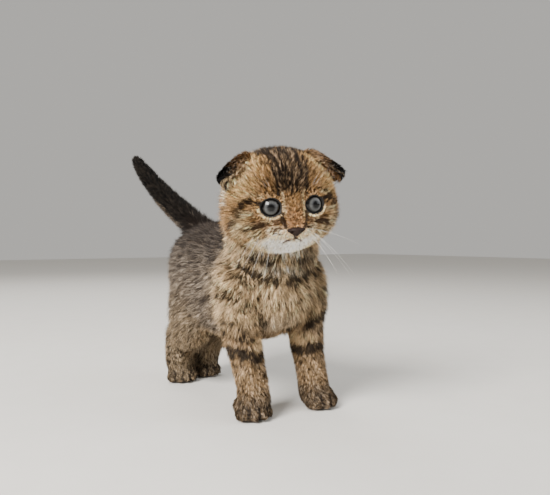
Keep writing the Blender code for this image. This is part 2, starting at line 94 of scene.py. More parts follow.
def latticeNoise(points, scale, seed):
    # value noise: random numbers on a cubic lattice of the given pitch, blended by S curves, 0 to 1
    place = points / scale + 1000.0
    cell = np.floor(place).astype(np.int64)
    t = place - cell
    t = t * t * (3 - 2 * t)
    total = np.zeros(len(points))
    for corner in range(8):
        step = np.array([corner & 1, corner >> 1 & 1, corner >> 2 & 1])
        key = ((cell + step) * [73856093, 19349663, 83492791]).sum(1) + seed * 974711
        key = (key ^ (key >> 13)) * 1274126177 & 0xFFFFFFFF
        key = (key ^ (key >> 15)) * 668265263 & 0xFFFFFFFF
        share = np.where(step == 1, t, 1 - t).prod(1)
        total += share * (key & 0xFFFFFF) / 0xFFFFFF
    return total


def cloudNoise(points, scale, seed):
    # two octaves of value noise around 0, about -1 to 1
    coarse = latticeNoise(points, scale, seed) - 0.5
    fine = latticeNoise(points, scale * 0.47, seed + 7) - 0.5
    return 1.5 * coarse + 0.8 * fine


# Meshes from arrays

def signedVolume(points, triangles):
    a, b, c = (points[triangles[:, k]] for k in range(3))
    return np.einsum("ij,ij->i", a, np.cross(b, c)).sum() / 6


def facesMesh(name, points, *faceSets):
    # a mesh from points and arrays of faces, each array with one number of corners
    mesh = bpy.data.meshes.new(name)
    sizes = np.concatenate([np.full(len(faces), faces.shape[1]) for faces in faceSets])
    corners = np.concatenate([faces.ravel() for faces in faceSets]).astype(np.int32)
    mesh.vertices.add(len(points))
    mesh.vertices.foreach_set("co", np.asarray(points, np.float32).ravel())
    mesh.loops.add(len(corners))
    mesh.loops.foreach_set("vertex_index", corners)
    mesh.polygons.add(len(sizes))
    mesh.polygons.foreach_set("loop_start", (np.cumsum(sizes) - sizes).astype(np.int32))
    mesh.update(calc_edges=True)
    mesh.shade_smooth()
    return mesh


def newObject(name, mesh):
    thing = bpy.data.objects.new(name, mesh)
    bpy.context.scene.collection.objects.link(thing)
    return thing


def pointColours(mesh, name, colours):
    layer = mesh.color_attributes.new(name, "FLOAT_COLOR", "POINT")
    rgba = np.ones((len(colours), 4), np.float32)
    rgba[:, :3] = colours
    layer.data.foreach_set("color", rgba.ravel())


def pointVectors(mesh, name, vectors):
    layer = mesh.attributes.new(name, "FLOAT_VECTOR", "POINT")
    layer.data.foreach_set("vector", np.asarray(vectors, np.float32).ravel())


def modified(thing, kind, **settings):
    modifier = thing.modifiers.new(kind.lower(), kind)
    for key, value in settings.items():
        setattr(modifier, key, value)


def settled(thing):
    # puts the modifiers into the mesh
    graph = bpy.context.evaluated_depsgraph_get()
    mesh = bpy.data.meshes.new_from_object(thing.evaluated_get(graph))
    thing.modifiers.clear()
    thing.data = mesh
    return thing


def meshArrays(mesh):
    # points, normals and triangles
    points = np.empty(len(mesh.vertices) * 3, np.float32)
    mesh.vertices.foreach_get("co", points)
    normals = np.empty(len(mesh.vertices) * 3, np.float32)
    mesh.vertex_normals.foreach_get("vector", normals)
    mesh.calc_loop_triangles()
    triangles = np.empty(len(mesh.loop_triangles) * 3, np.int32)
    mesh.loop_triangles.foreach_get("vertices", triangles)
    return points.reshape(-1, 3).astype(float), normals.reshape(-1, 3).astype(float), triangles.reshape(-1, 3)


def ringsForm(rings, start, end):
    # rings of points closed by a fan at each end: points, quads and triangles that face outwards
    count, sides, _ = rings.shape
    points = np.vstack([rings.reshape(-1, 3), start, end])
    index = np.arange(count * sides).reshape(count, sides)
    after = np.roll(index, -1, 1)
    quads = np.stack([index[:-1], after[:-1], after[1:], index[1:]], -1).reshape(-1, 4)
    tip = count * sides
    fans = [
        np.stack([after[0], index[0], np.full(sides, tip)], -1),
        np.stack([index[-1], after[-1], np.full(sides, tip + 1)], -1),
    ]
    triangles = np.vstack(fans)
    halves = np.vstack([quads[:, [0, 1, 2]], quads[:, [0, 2, 3]], triangles])
    if signedVolume(points, halves) < 0:
        quads, triangles = quads[:, ::-1], triangles[:, ::-1]
    return points, quads, triangles


def joinedForms(name, forms):
    # several closed forms as one mesh object
    quads, triangles, shift = [], [], 0
    for points, four, three in forms:
        quads.append(four + shift)
        triangles.append(three + shift)
        shift += len(points)
    points = np.vstack([form[0] for form in forms])
    return newObject(name, facesMesh(name, points, np.vstack(quads), np.vstack(triangles)))


# Forms of the body

def smoothRows(rows, count):
    # rows read from a smooth (Catmull-Rom) curve through the given rows
    rows = np.array(rows, float)
    padded = np.vstack([2 * rows[0] - rows[1], rows, 2 * rows[-1] - rows[-2]])
    place = np.linspace(0, len(rows) - 1, count)
    first = np.minimum(place.astype(int), len(rows) - 2)
    t = (place - first)[:, None]
    a, b, c, d = (padded[first + k] for k in range(4))
    return 0.5 * (2 * b + (c - a) * t + (2 * a - 5 * b + 4 * c - d) * t**2 + (3 * b - a - 3 * c + d) * t**3)


def tubeForm(stations, rings=26, sides=36, blunt=1.0, square=2.0):
    # a superellipse carried along a path of x, y, z, half width and half depth, with rounded ends
    rows = smoothRows(stations, rings)
    centres, sizes = rows[:, :3], np.maximum(rows[:, 3:5], mm)
    along = unit(np.gradient(centres, axis=0))
    across = unit(np.array([1.0, 0, 0]) - along[:, :1] * along)
    upward = np.cross(along, across)
    quarter = np.linspace(0, math.pi / 2, 6)[1:-1]
    tips = []
    for end, sign in ((0, -1), (-1, 1)):
        reach = blunt * sizes[end].min() * sign * along[end]
        tips.append(centres[end] + reach)
        order = slice(None, None, sign)
        more = (centres[end] + np.sin(quarter)[:, None] * reach)[order]
        smaller = (np.cos(quarter)[:, None] * sizes[end])[order]
        caps = [more, smaller] + [np.repeat(f[[end]], len(quarter), 0) for f in (across, upward)]
        stacks = zip(caps, (centres, sizes, across, upward))
        joined = [np.vstack([cap, f] if end == 0 else [f, cap]) for cap, f in stacks]
        centres, sizes, across, upward = joined
    angle = np.linspace(0, 2 * math.pi, sides, endpoint=False)
    wide = np.sign(np.cos(angle)) * np.abs(np.cos(angle)) ** (2 / square)
    deep = np.sign(np.sin(angle)) * np.abs(np.sin(angle)) ** (2 / square)
    points = centres[:, None] + across[:, None] * (sizes[:, :1] * wide)[..., None]
    points = points + upward[:, None] * (sizes[:, 1:] * deep)[..., None]
    return ringsForm(points, tips[0], tips[1])


def ballForm(centre, sizes, turn=0.0, rings=16, sides=24):
    # an ellipsoid with half sizes along X, Y and Z, turned about Z
    angle = np.linspace(0, math.pi, rings + 2)[1:-1, None]
    side = np.linspace(0, 2 * math.pi, sides, endpoint=False)[None]
    points = np.stack([np.sin(angle) * np.cos(side), np.sin(angle) * np.sin(side), np.cos(angle) + 0 * side], -1)
    axes, size, place = turned("Z", turn).T, np.array(sizes), np.array(centre)
    poles = [(np.array([0, 0, z]) * size) @ axes + place for z in (1, -1)]
    return ringsForm((points * size) @ axes + place, *poles)


torsoStations = (  # share of the length, rise, share of the width and of the depth
    (0.05, -0.002, 0.72, 0.67), (0.13, -0.001, 0.95, 0.87), (0.26, 0.000, 1.00, 0.96),
    (0.45, -0.001, 0.97, 0.99), (0.62, 0.001, 1.00, 0.98), (0.78, 0.005, 0.95, 0.87),
    (0.90, 0.009, 0.74, 0.67),
)


def torsoForm():
    middle = (kitten["backHeight"] + kitten["bellyHeight"]) / 2
    depth = (kitten["backHeight"] - kitten["bellyHeight"]) / 2
    length = kitten["rumpEnd"] - kitten["chestFront"]
    stations = []
    for share, rise, width, height in torsoStations:
        half = kitten["chestHalfWidth"] + (kitten["hipHalfWidth"] - kitten["chestHalfWidth"]) * share
        stations.append((0, kitten["chestFront"] + length * share, middle + rise, half * width, depth * height))
    return tubeForm(stations, rings=40, sides=56, blunt=0.75, square=2.15)


def neckForm():
    x, y, z = headCentre
    stations = [
        (0.0, -0.020, 0.078, 0.0310, 0.0310), (0.0, -0.033, 0.090, 0.0320, 0.0290),
        (-0.002, -0.044, 0.104, 0.0310, 0.0270), (x + 0.002, y + 0.012, z - 0.006, 0.0285, 0.0255),
    ]
    return tubeForm(stations, rings=24, sides=44, blunt=0.6)


def tailPoint(share):
    # the tail's middle line: back, up and to the right, steeper toward the tip
    reach = np.asarray(share)[..., None] * kitten["tailReach"]
    return np.array([0, 0.052, 0.1124]) + reach * [-0.34, 0.94, 0.66] + reach**3 * [0, 0, 33]


tailRadii = np.array([
    (-0.06, 0.0122), (0.14, 0.0107), (0.32, 0.0098), (0.50, 0.0090), (0.68, 0.0079), (0.84, 0.0066), (0.95, 0.0050),
])


def tailForm():
    stations = [(*tailPoint(share), radius, radius) for share, radius in tailRadii]
    return tubeForm(stations, rings=30, sides=28)


def pawForms(toes, turn, halfWidth, length):
    # the back of the paw and four toes side by side, the middle two foremost
    facing = turned("Z", turn)
    back = toes + facing @ [0, 0.62 * length, 0.0075]
    forms = [ballForm(back, (halfWidth * 0.96, length * 0.56, 0.0082), turn)]
    for share in (-0.72, -0.25, 0.25, 0.72):
        setBack = 0.0030 if abs(share) > 0.5 else 0.0
        place = toes + facing @ [share * halfWidth, 0.0055 + setBack, 0.0042]
        forms.append(ballForm(place, (halfWidth * 0.29, 0.0062, 0.0052), turn - share * 0.25))
    return forms


frontPaws = {  # side, wrist, toes and turn
    "right": (-1, (-0.0185, -0.0478, 0.018), (-0.0208, -0.0603, 0.0), -0.12),
    "left": (1, (0.0265, -0.0478, 0.018), (0.0300, -0.0632, 0.0), 0.15),
}
hindPaws = {  # side, hock, toes and turn
    "right": (-1, (-0.0140, 0.0640, 0.028), (-0.0150, 0.0500, 0.0), -0.35),
    "left": (1, (0.0140, 0.0690, 0.028), (0.0150, 0.0560, 0.0), 0.20),
}


def frontLegForms(side, wrist, toes, turn):
    x, y, z = wrist
    stations = [
        (side * 0.0195, -0.0385, 0.090, 0.0160, 0.0165), (side * 0.0225, -0.0410, 0.080, 0.0168, 0.0175),
        (side * 0.0240, -0.0420, 0.067, 0.0160, 0.0170), (side * 0.0235, -0.0435, 0.052, 0.0130, 0.0140),
        ((side * 0.0235 + x) / 2, -0.0450, 0.036, 0.0110, 0.0115), (x, y + 0.001, z + 0.004, 0.0103, 0.0103),
        (x, y - 0.002, z - 0.008, 0.0104, 0.0104),
    ]
    return [tubeForm(stations, rings=30, sides=28, blunt=0.6)] + pawForms(np.array(toes), turn, 0.0114, 0.0210)


def hindLegForms(side, hock, toes, turn):
    x, y, z = hock
    instep = np.array(toes) + turned("Z", turn) @ [0, 0.013, 0.0090]
    stations = [
        (side * 0.0176, 0.0310, 0.056, 0.0124, 0.0180), (side * 0.0168, 0.0370, 0.044, 0.0118, 0.0165),
        (x, y - 0.007, z + 0.006, 0.0108, 0.0132), (x, y - 0.003, z - 0.008, 0.0099, 0.0105),
        (*instep, 0.0103, 0.0098),
    ]
    thigh = ballForm((side * 0.0165, 0.0350, 0.067), (0.0142, 0.0235, 0.0290))
    seat = ballForm((side * 0.0150, 0.0480, 0.0550), (0.0125, 0.0130, 0.0175))
    leg = tubeForm(stations, rings=30, sides=28, blunt=0.5)
    return [thigh, seat, leg] + pawForms(np.array(toes), turn, 0.0110, 0.0200)


bodyMesh = {"voxel": 0.00122, "smoothing": 22, "factor": 0.6}


def makeBody():
    # torso, neck, tail and legs run together into one surface out to the tips of the coat
    forms = [torsoForm(), neckForm(), tailForm()]
    for paw in frontPaws.values():
        forms += frontLegForms(*paw)
    for paw in hindPaws.values():
        forms += hindLegForms(*paw)
    body = joinedForms("body_form", forms)
    modified(body, "REMESH", mode="VOXEL", voxel_size=bodyMesh["voxel"])
    settled(body)
    height = meshArrays(body.data)[0][:, 2]
    soft = body.vertex_groups.new(name="soft")
    share = np.round(np.clip((height - 0.004) / 0.030, 0.12, 1.0), 2)
    for level in np.unique(share):
        soft.add(np.flatnonzero(share == level).tolist(), float(level), "REPLACE")
    modified(body, "SMOOTH", factor=bodyMesh["factor"], iterations=bodyMesh["smoothing"], vertex_group="soft")
    return settled(body)


# Forms of the head

def grab(points, centre, reach, pull):
    # pulls points near the centre, most at the centre and not at all past the reach
    share = np.clip(1 - (((points - centre) / reach) ** 2).sum(-1), 0, None) ** 2
    return points + share[..., None] * np.array(pull)


mouth = {"top": -0.0178, "middle": -0.0190, "reach": 0.0050, "droop": 0.0024}


def mouthLine():
    # the philtrum and the two drooping halves of the mouth, as X and Z
    side = np.linspace(0, 1, 12)
    half = np.stack([mouth["reach"] * side, mouth["middle"] - mouth["droop"] * side**1.4], 1)
    stem = np.stack([np.zeros(6), np.linspace(mouth["top"], mouth["middle"], 6)], 1)
    return np.vstack([stem, half, half * [-1, 1]])


def mouthDistance(local):
    return np.linalg.norm(local[..., None, [0, 2]] - mouthLine(), axis=-1).min(-1)


eyePlaces = {
    name: (np.array([side * 0.0111, -0.0221, -0.0019]), unit(np.array([side * 0.20, -1.0, -0.01])))
    for name, side in (("left", 1), ("right", -1))
}


def eyeAxes(points, centre, look):
    # how far points lie ahead of an eye's centre and aside from its look, and the same in rounds of its oval opening
    fromEye = points - centre
    ahead = fromEye @ look
    aside = fromEye - ahead[..., None] * look
    away = np.linalg.norm(aside, axis=-1) + 1e-9
    oval = np.linalg.norm(aside / [1, 1, kitten["eyeFlatness"]], axis=-1) + 1e-9
    return ahead, aside, away, oval


def setLid(points, centre, look):
    # a dish down to the eyeball with a raised oval rim round it as the lids
    opening, radius = kitten["eyeOpening"], kitten["eyeRadius"]
    ahead, _, away, oval = eyeAxes(points, centre, look)
    rimPlane = np.sqrt(radius**2 - (opening * away / oval) ** 2)
    rim = 0.0011 * np.exp(-(((oval - opening - 0.0009) / 0.0010) ** 2))
    wanted = rimPlane + rim - 0.0012 * np.clip(1 - oval / opening, 0, 1)
    wanted = wanted + 0.10 * np.clip(oval - opening, 0, None)
    hold = smoothStep(0, 1, (0.0100 - oval) / 0.0040) * (ahead > 0)
    return points + ((wanted - ahead) * hold)[..., None] * look


def headPoints(rings, sides):
    # a superellipsoid as rings round a drooping axis, pulled out at cheeks, brow, muzzle, whisker
    # pads and chin, sunk and rimmed round the eyes, and grooved along the mouth
    droop = math.radians(16)
    forward = np.array([0, -math.cos(droop), -math.sin(droop)])
    sideways = np.array([1.0, 0, 0])
    upward = np.cross(sideways, forward)
    step = np.linspace(0, 1, rings + 2)
    angle = (math.pi * (0.55 * step + 0.45 * step**2))[:, None]
    around = np.linspace(0, 2 * math.pi, sides, endpoint=False)[None]
    ray = np.cos(angle)[..., None] * forward + (np.sin(angle) * np.cos(around))[..., None] * sideways
    ray = ray + (np.sin(angle) * np.sin(around))[..., None] * upward
    power = 2.15
    points = ray / ((np.abs(ray / np.array(kitten["headHalf"])) ** power).sum(-1) ** (1 / power))[..., None]
    for side in (1, -1):
        points = grab(points, (side * 0.026, -0.006, -0.010), 0.021, (side * 0.0022, -0.001, -0.0010))
    points = grab(points, (0, -0.021, 0.017), 0.022, (0, -0.0016, 0.0008))
    for side in (1, -1):
        points = grab(points, (side * 0.011, -0.004, 0.028), 0.022, (0, 0, 0.0011))
    points = grab(points, (0, -0.027, -0.0150), 0.0175, (0, -0.0042, -0.0006))
    points = grab(points, (0, -0.029, -0.0050), (0.0080, 0.014, 0.0125), (0, -0.0018, 0))
    for side in (1, -1):
        points = grab(points, (side * 0.0055, -0.033, -0.0168), 0.0080, (side * 0.0014, -0.0020, -0.0004))
    points = grab(points, (0, -0.028, -0.0245), 0.0085, (0, -0.0036, -0.0002))
    for centre, look in eyePlaces.values():
        points = setLid(points, centre, look)
    groove = np.exp(-((mouthDistance(points) / 0.0008) ** 2)) * (points[..., 1] < -0.02)
    points[..., 1] += 0.0013 * groove
    return points


def eyeDistance(local):
    # how far a point is from the nearer eye's middle, across its look, in rounds of the oval opening
    nearest = np.full(local.shape[:-1], 1.0)
    for centre, look in eyePlaces.values():
        ahead, _, _, oval = eyeAxes(local, centre, look)
        nearest = np.minimum(nearest, np.where(ahead > 0, oval, 1.0))
    return nearest


headCoat = {"nose": 0.0007, "muzzle": 0.0012, "forehead": 0.0023, "side": 0.0050, "back": 0.0055, "lid": 0.0004}


def headDepth(local):
    # how deep the skin lies under the coat's tips: least at nose, lids and mouth, most at cheeks and nape
    fromNose = np.linalg.norm(local - [0, -0.0325, -0.0150], axis=-1)
    depth = np.interp(fromNose, [0.004, 0.010, 0.020, 0.040, 0.062], [
        headCoat["nose"], headCoat["muzzle"], headCoat["forehead"] * 0.8, headCoat["side"], headCoat["back"],
    ])
    crown = smoothStep(0.006, 0.022, local[..., 2]) * smoothStep(0.012, -0.012, local[..., 1])
    depth = depth + (headCoat["forehead"] - depth) * crown * 0.8
    cheek = smoothStep(0.018, 0.030, np.abs(local[..., 0])) * smoothStep(0.004, -0.012, local[..., 2])
    depth = depth + 0.0016 * cheek
    lid = smoothStep(0.0120, 0.0064, eyeDistance(local))
    depth = depth + (headCoat["lid"] - depth) * lid
    lips = smoothStep(0.0030, 0.0010, mouthDistance(local)) * (local[..., 1] < -0.02)
    return depth + (0.0005 - depth) * lips


def gridNormals(points, wrap):
    # normals of a grid from the cross product of its two directions
    rows = np.gradient(points, axis=0)
    if wrap:
        columns = (np.roll(points, -1, 1) - np.roll(points, 1, 1)) / 2
    else:
        columns = np.gradient(points, axis=1)
    return unit(np.cross(columns, rows))


def makeHeadGrids(rings, sides):
    # the coat's outer surface and the skin below it, both in the head's own frame
    outer = headPoints(rings, sides)
    normals = gridNormals(outer, True)
    normals[0] = unit(normals[1].mean(0))
    normals[-1] = unit(normals[-2].mean(0))
    if (normals * outer).sum() < 0:
        normals = -normals
    return outer, normals, outer - normals * headDepth(outer)[..., None]


earLines = {  # mm in the head's frame, for the left ear
    "seam": ((11, -2, 25), (18, 1, 22), (23.5, 4, 18.5), (27.5, 5, 14.5), (29.5, 2, 11), (29.5, -2, 9)),
    "fold": ((12, -5, 25.6), (19, -4.5, 28), (26, -3.5, 24.8), (32, -3.5, 20.3), (36.5, -6, 15.8), (34.5, -7.5, 11.5)),
    "rim": ((14, -8.5, 25), (21, -12.5, 21.9), (26, -14.2, 18.4), (30.5, -14.2, 15.4), (35, -12, 12.4), (33.5, -8, 10.2)),
}
earSides = {"left": (1, 1.03), "right": (-1, 0.96)}


def earGrid(side, spread, insets, rows=60, columns=36):
    # an arc from seam over fold to rim at each step along the ear, sunk below the coat by the insets
    lines = [smoothRows(earLines[key], rows)[:, None] * mm * [side * spread, 1, 1] for key in ("seam", "fold", "rim")]
    away = unit(lines[1])
    low, top, edge = (line - inset * away for line, inset in zip(lines, insets))
    control = 2 * top - (low + edge) / 2
    t = np.linspace(0, 1, columns)[None, :, None]
    return (1 - t) ** 2 * low + 2 * t * (1 - t) * control + t**2 * edge


def shellForm(outer, inner):
    # a closed form between two grids, joined along their four edges
    rows, columns, _ = outer.shape
    index = np.arange(rows * columns).reshape(rows, columns)
    shift = rows * columns
    front = np.stack([index[:-1, :-1], index[1:, :-1], index[1:, 1:], index[:-1, 1:]], -1).reshape(-1, 4)
    rim = np.concatenate([index[0], index[1:, -1], index[-1, -2::-1], index[-2:0:-1, 0]])
    after = np.roll(rim, -1)
    band = np.stack([rim, after, after + shift, rim + shift], 1)
    quads = np.vstack([front, front[:, ::-1] + shift, band])
    points = np.vstack([outer.reshape(-1, 3), inner.reshape(-1, 3)])
    halves = np.vstack([quads[:, [0, 1, 2]], quads[:, [0, 2, 3]]])
    if signedVolume(points, halves) < 0:
        quads = quads[:, ::-1]
    return points, quads, np.zeros((0, 3), int)


# Depth of the coat and its lie on the body

def tailShare(points):
    # where along the tail a point is, and how far from its middle line
    share = np.linspace(-0.1, 1.05, 80)
    line = tailPoint(share)
    gap = np.linalg.norm(points[:, None] - line, axis=-1)
    nearest = gap.argmin(1)
    return share[nearest], gap.min(1)


def tailWeight(points, share, gap):
    return smoothStep(0.0175, 0.0130, gap) * smoothStep(0.06, 0.22, share) * (points[:, 2] > 0.105)


coatByHeight = np.array([  # height above the floor and depth of the coat
    (0.000, 0.0010), (0.012, 0.0015), (0.022, 0.0022), (0.038, 0.0032), (0.055, 0.0046), (0.075, 0.0058),
])


def bodyDepth(points):
    share, gap = tailShare(points)
    depth = np.interp(points[:, 2], *coatByHeight.T)
    onTail = tailWeight(points, share, gap)
    return depth + (np.interp(share, [0, 0.5, 1], [0.0060, 0.0048, 0.0030]) - depth) * onTail


flowGuides = np.array([  # a place on the left side, the way the coat lies there, and its reach
    (0, -0.056, 0.092, 0, -0.15, -1, 0.014), (0, -0.057, 0.066, 0, 0.05, -1, 0.014),
    (0.018, -0.052, 0.085, 0.25, 0.1, -1, 0.014), (0.032, -0.040, 0.100, 0.1, 0.75, -1, 0.016),
    (0.000, -0.015, 0.119, 0, 1, -0.1, 0.018), (0.034, -0.030, 0.078, 0, 0.65, -1, 0.016),
    (0.000, 0.020, 0.120, 0, 1, 0, 0.022), (0.000, 0.048, 0.118, 0, 1, -0.1, 0.014),
    (0.032, 0.008, 0.100, 0, 1, -0.42, 0.020), (0.034, 0.005, 0.078, 0, 1, -0.55, 0.020),
    (0.030, 0.004, 0.052, 0, 1, -0.35, 0.016), (0, 0.000, 0.038, 0, 1, 0, 0.020),
    (0.031, 0.045, 0.092, 0, 0.9, -0.75, 0.018), (0.032, 0.040, 0.066, 0, 0.55, -1, 0.016),
    (0.000, 0.074, 0.088, 0, 0.1, -1, 0.014), (0.020, 0.068, 0.075, 0, 0.1, -1, 0.014),
    (0.024, -0.044, 0.052, 0.05, 0.12, -1, 0.012), (0.024, -0.046, 0.032, 0, 0.02, -1, 0.012),
    (0.023, -0.052, 0.017, 0, -0.5, -1, 0.008), (0.025, -0.060, 0.008, 0, -1, -0.45, 0.008),
    (0.018, 0.046, 0.044, 0, 0.35, -1, 0.012), (0.014, 0.066, 0.030, 0, 0.05, -1, 0.010),
    (0.015, 0.062, 0.012, 0, -0.5, -1, 0.008), (0.015, 0.052, 0.006, 0, -1, -0.4, 0.008),
])


def bodyLie(points, normals):
    # the guides' directions weighed by nearness, mirrored for the right side, and on the tail its own line
    side = np.where(points[:, 0] < 0, -1.0, 1.0)
    folded = points * np.stack([side, np.ones_like(side), np.ones_like(side)], 1)
    gap = np.linalg.norm(folded[:, None] - flowGuides[:, :3], axis=-1)
    weight = np.exp(-((gap / flowGuides[:, 6]) ** 2)) + 1e-6 / (gap / 0.02) ** 4
    lie = weight @ unit(flowGuides[:, 3:6])
    lie[:, 0] *= side
    share, gap = tailShare(points)
    onTail = tailWeight(points, share, gap)
    lie = mix(unit(lie), unit(tailPoint(share + 0.02) - tailPoint(share - 0.02)), onTail)
    return unit(lie - (lie * normals).sum(1, keepdims=True) * normals)


def headLie(local, normals):
    # away from the nose over the head, bent away from the eyes near the lids, and down at the cheeks
    lie = unit(local - [0, -0.038, -0.013])
    lie[:, 2] -= 0.45 * smoothStep(0.020, 0.032, np.abs(local[:, 0])) * smoothStep(0.012, -0.010, local[:, 2])
    for centre, look in eyePlaces.values():
        ahead, aside, _, oval = eyeAxes(local, centre, look)
        near = smoothStep(0.0110, 0.0062, oval) * (ahead > 0)
        lie = lie + 1.6 * near[:, None] * unit(aside)
    return unit(lie - (lie * normals).sum(1, keepdims=True) * normals)


# Colours and markings

def srgb(red, green, blue):
    value = np.array([red, green, blue]) / 255
    return np.where(value <= 0.04045, value / 12.92, ((value + 0.055) / 1.055) ** 2.4)


tones = {
    "flank": srgb(108, 95, 81), "flankDark": srgb(36, 29, 24), "back": srgb(54, 46, 40), "chest": srgb(184, 157, 120),
    "cream": srgb(252, 244, 230), "gold": srgb(156, 119, 74), "temple": srgb(200, 158, 104),
    "beige": srgb(224, 194, 150), "orange": srgb(172, 130, 86), "muzzle": srgb(250, 218, 178), "crown": srgb(134, 108, 79),
    "stripe": srgb(18, 12, 9), "brown": srgb(80, 55, 36), "lid": srgb(11, 8, 7),
    "ear": srgb(112, 84, 56), "earTip": srgb(13, 9, 7), "tail": srgb(6, 5, 5),
    "tailGrey": srgb(98, 85, 72), "leg": srgb(142, 116, 84), "hind": srgb(132, 113, 87),
    "paw": srgb(100, 82, 61), "pad": srgb(52, 38, 34), "lip": srgb(66, 44, 37),
}


def strokeMask(azimuth, elevation, line, width, soft):
    # 1 within a width of a line drawn on the head in degrees, fading over the soft share of it
    place = np.stack([azimuth * np.cos(np.radians(elevation)), elevation], 1)
    line = np.array(line, float)
    line[:, 0] *= np.cos(np.radians(line[:, 1]))
    nearest = np.full(len(place), 1e3)
    for start, end in zip(line[:-1], line[1:]):
        along = end - start
        share = np.clip((place - start) @ along / (along @ along), 0, 1)
        nearest = np.minimum(nearest, np.linalg.norm(place - start - share[:, None] * along, axis=1))
    return smoothStep(width * (1 + soft), width * (1 - soft), nearest)


foreheadStrokes = (  # the streaks that run from the crown down to the brows, with half their width
    (((-55, 71), (-27, 51), (-19.6, 35), (-16.7, 20), (-14.7, 9)), 1.7), (((-38, 66), (-19, 46), (-13, 34), (-10.5, 22)), 1.5),
    (((-18, 68), (-9, 48), (-8.0, 34), (-6.9, 17)), 1.3), (((-2, 72), (-3, 50), (-3.0, 36), (-3.5, 16)), 1.1),
    (((10, 70), (4, 50), (2, 36), (0.5, 25), (-0.5, 9)), 1.4), (((30, 62), (16, 44), (9, 30), (5, 20), (3.6, 10)), 1.4),
    (((38, 62), (21, 45), (14, 33), (10.5, 24)), 1.4), (((52, 60), (28, 45), (20.5, 33), (16, 22), (15.8, 15)), 1.7),
    (((17, 17), (15.5, 7.5)), 1.3), (((-24, 60), (-14, 40), (-10, 30)), 1.0),
)
cheekStrokes = (  # drawn for the left side and mirrored: line, half width and strength
    (((33, 0.5), (39, 2.4), (47, 3.2)), 2.0, 1.0), (((47, 3.2), (51, 2.0), (57, -3), (62, -12)), 3.4, 1.0),
    (((36, -23.5), (48, -24.5), (61, -24)), 1.6, 0.9), (((18, -8.5), (14, -11), (12.8, -16), (10.0, -21)), 2.3, 1.0),
    (((24, -25.8), (13, -24.2)), 0.9, 0.95), (((23, -30.6), (13, -28.8)), 0.8, 0.8), (((26, -28.4), (17, -26.6)), 0.7, 0.8),
    (((70, -37), (58, -47)), 1.6, 0.6), (((66, -16), (78, -20), (90, -30)), 2.8, 0.75), (((72, 2), (84, -6), (98, -18)), 2.8, 0.65),
    (((30, -34), (46, -38)), 1.0, 0.6), (((40, -31), (56, -33)), 1.1, 0.7), (((28, -20), (40, -21), (50, -23)), 1.8, 0.75),
)
paleStrokes = (  # pale marks, mirrored too: line, half width, tone and strength
    (((11, 12), (10.6, 3), (10.2, -5), (9.6, -11)), 1.6, "beige", 0.85), (((44, -9), (55, -10)), 3.0, "beige", 0.8),
    (((84, 2), (86, 12), (80, 20)), 3.6, "cream", 0.45), (((86, 21), (62, 34.5), (54, 38)), 2.4, "beige", 0.6),
    (((62, 29), (54, 25)), 3.0, "beige", 0.55), (((74, -27), (75, -45), (60, -57)), 4.0, "beige", 0.7),
    (((24, -19), (34, -16.5)), 2.0, "beige", 0.6), (((32, 8), (50, 9)), 2.2, "beige", 0.5),
)


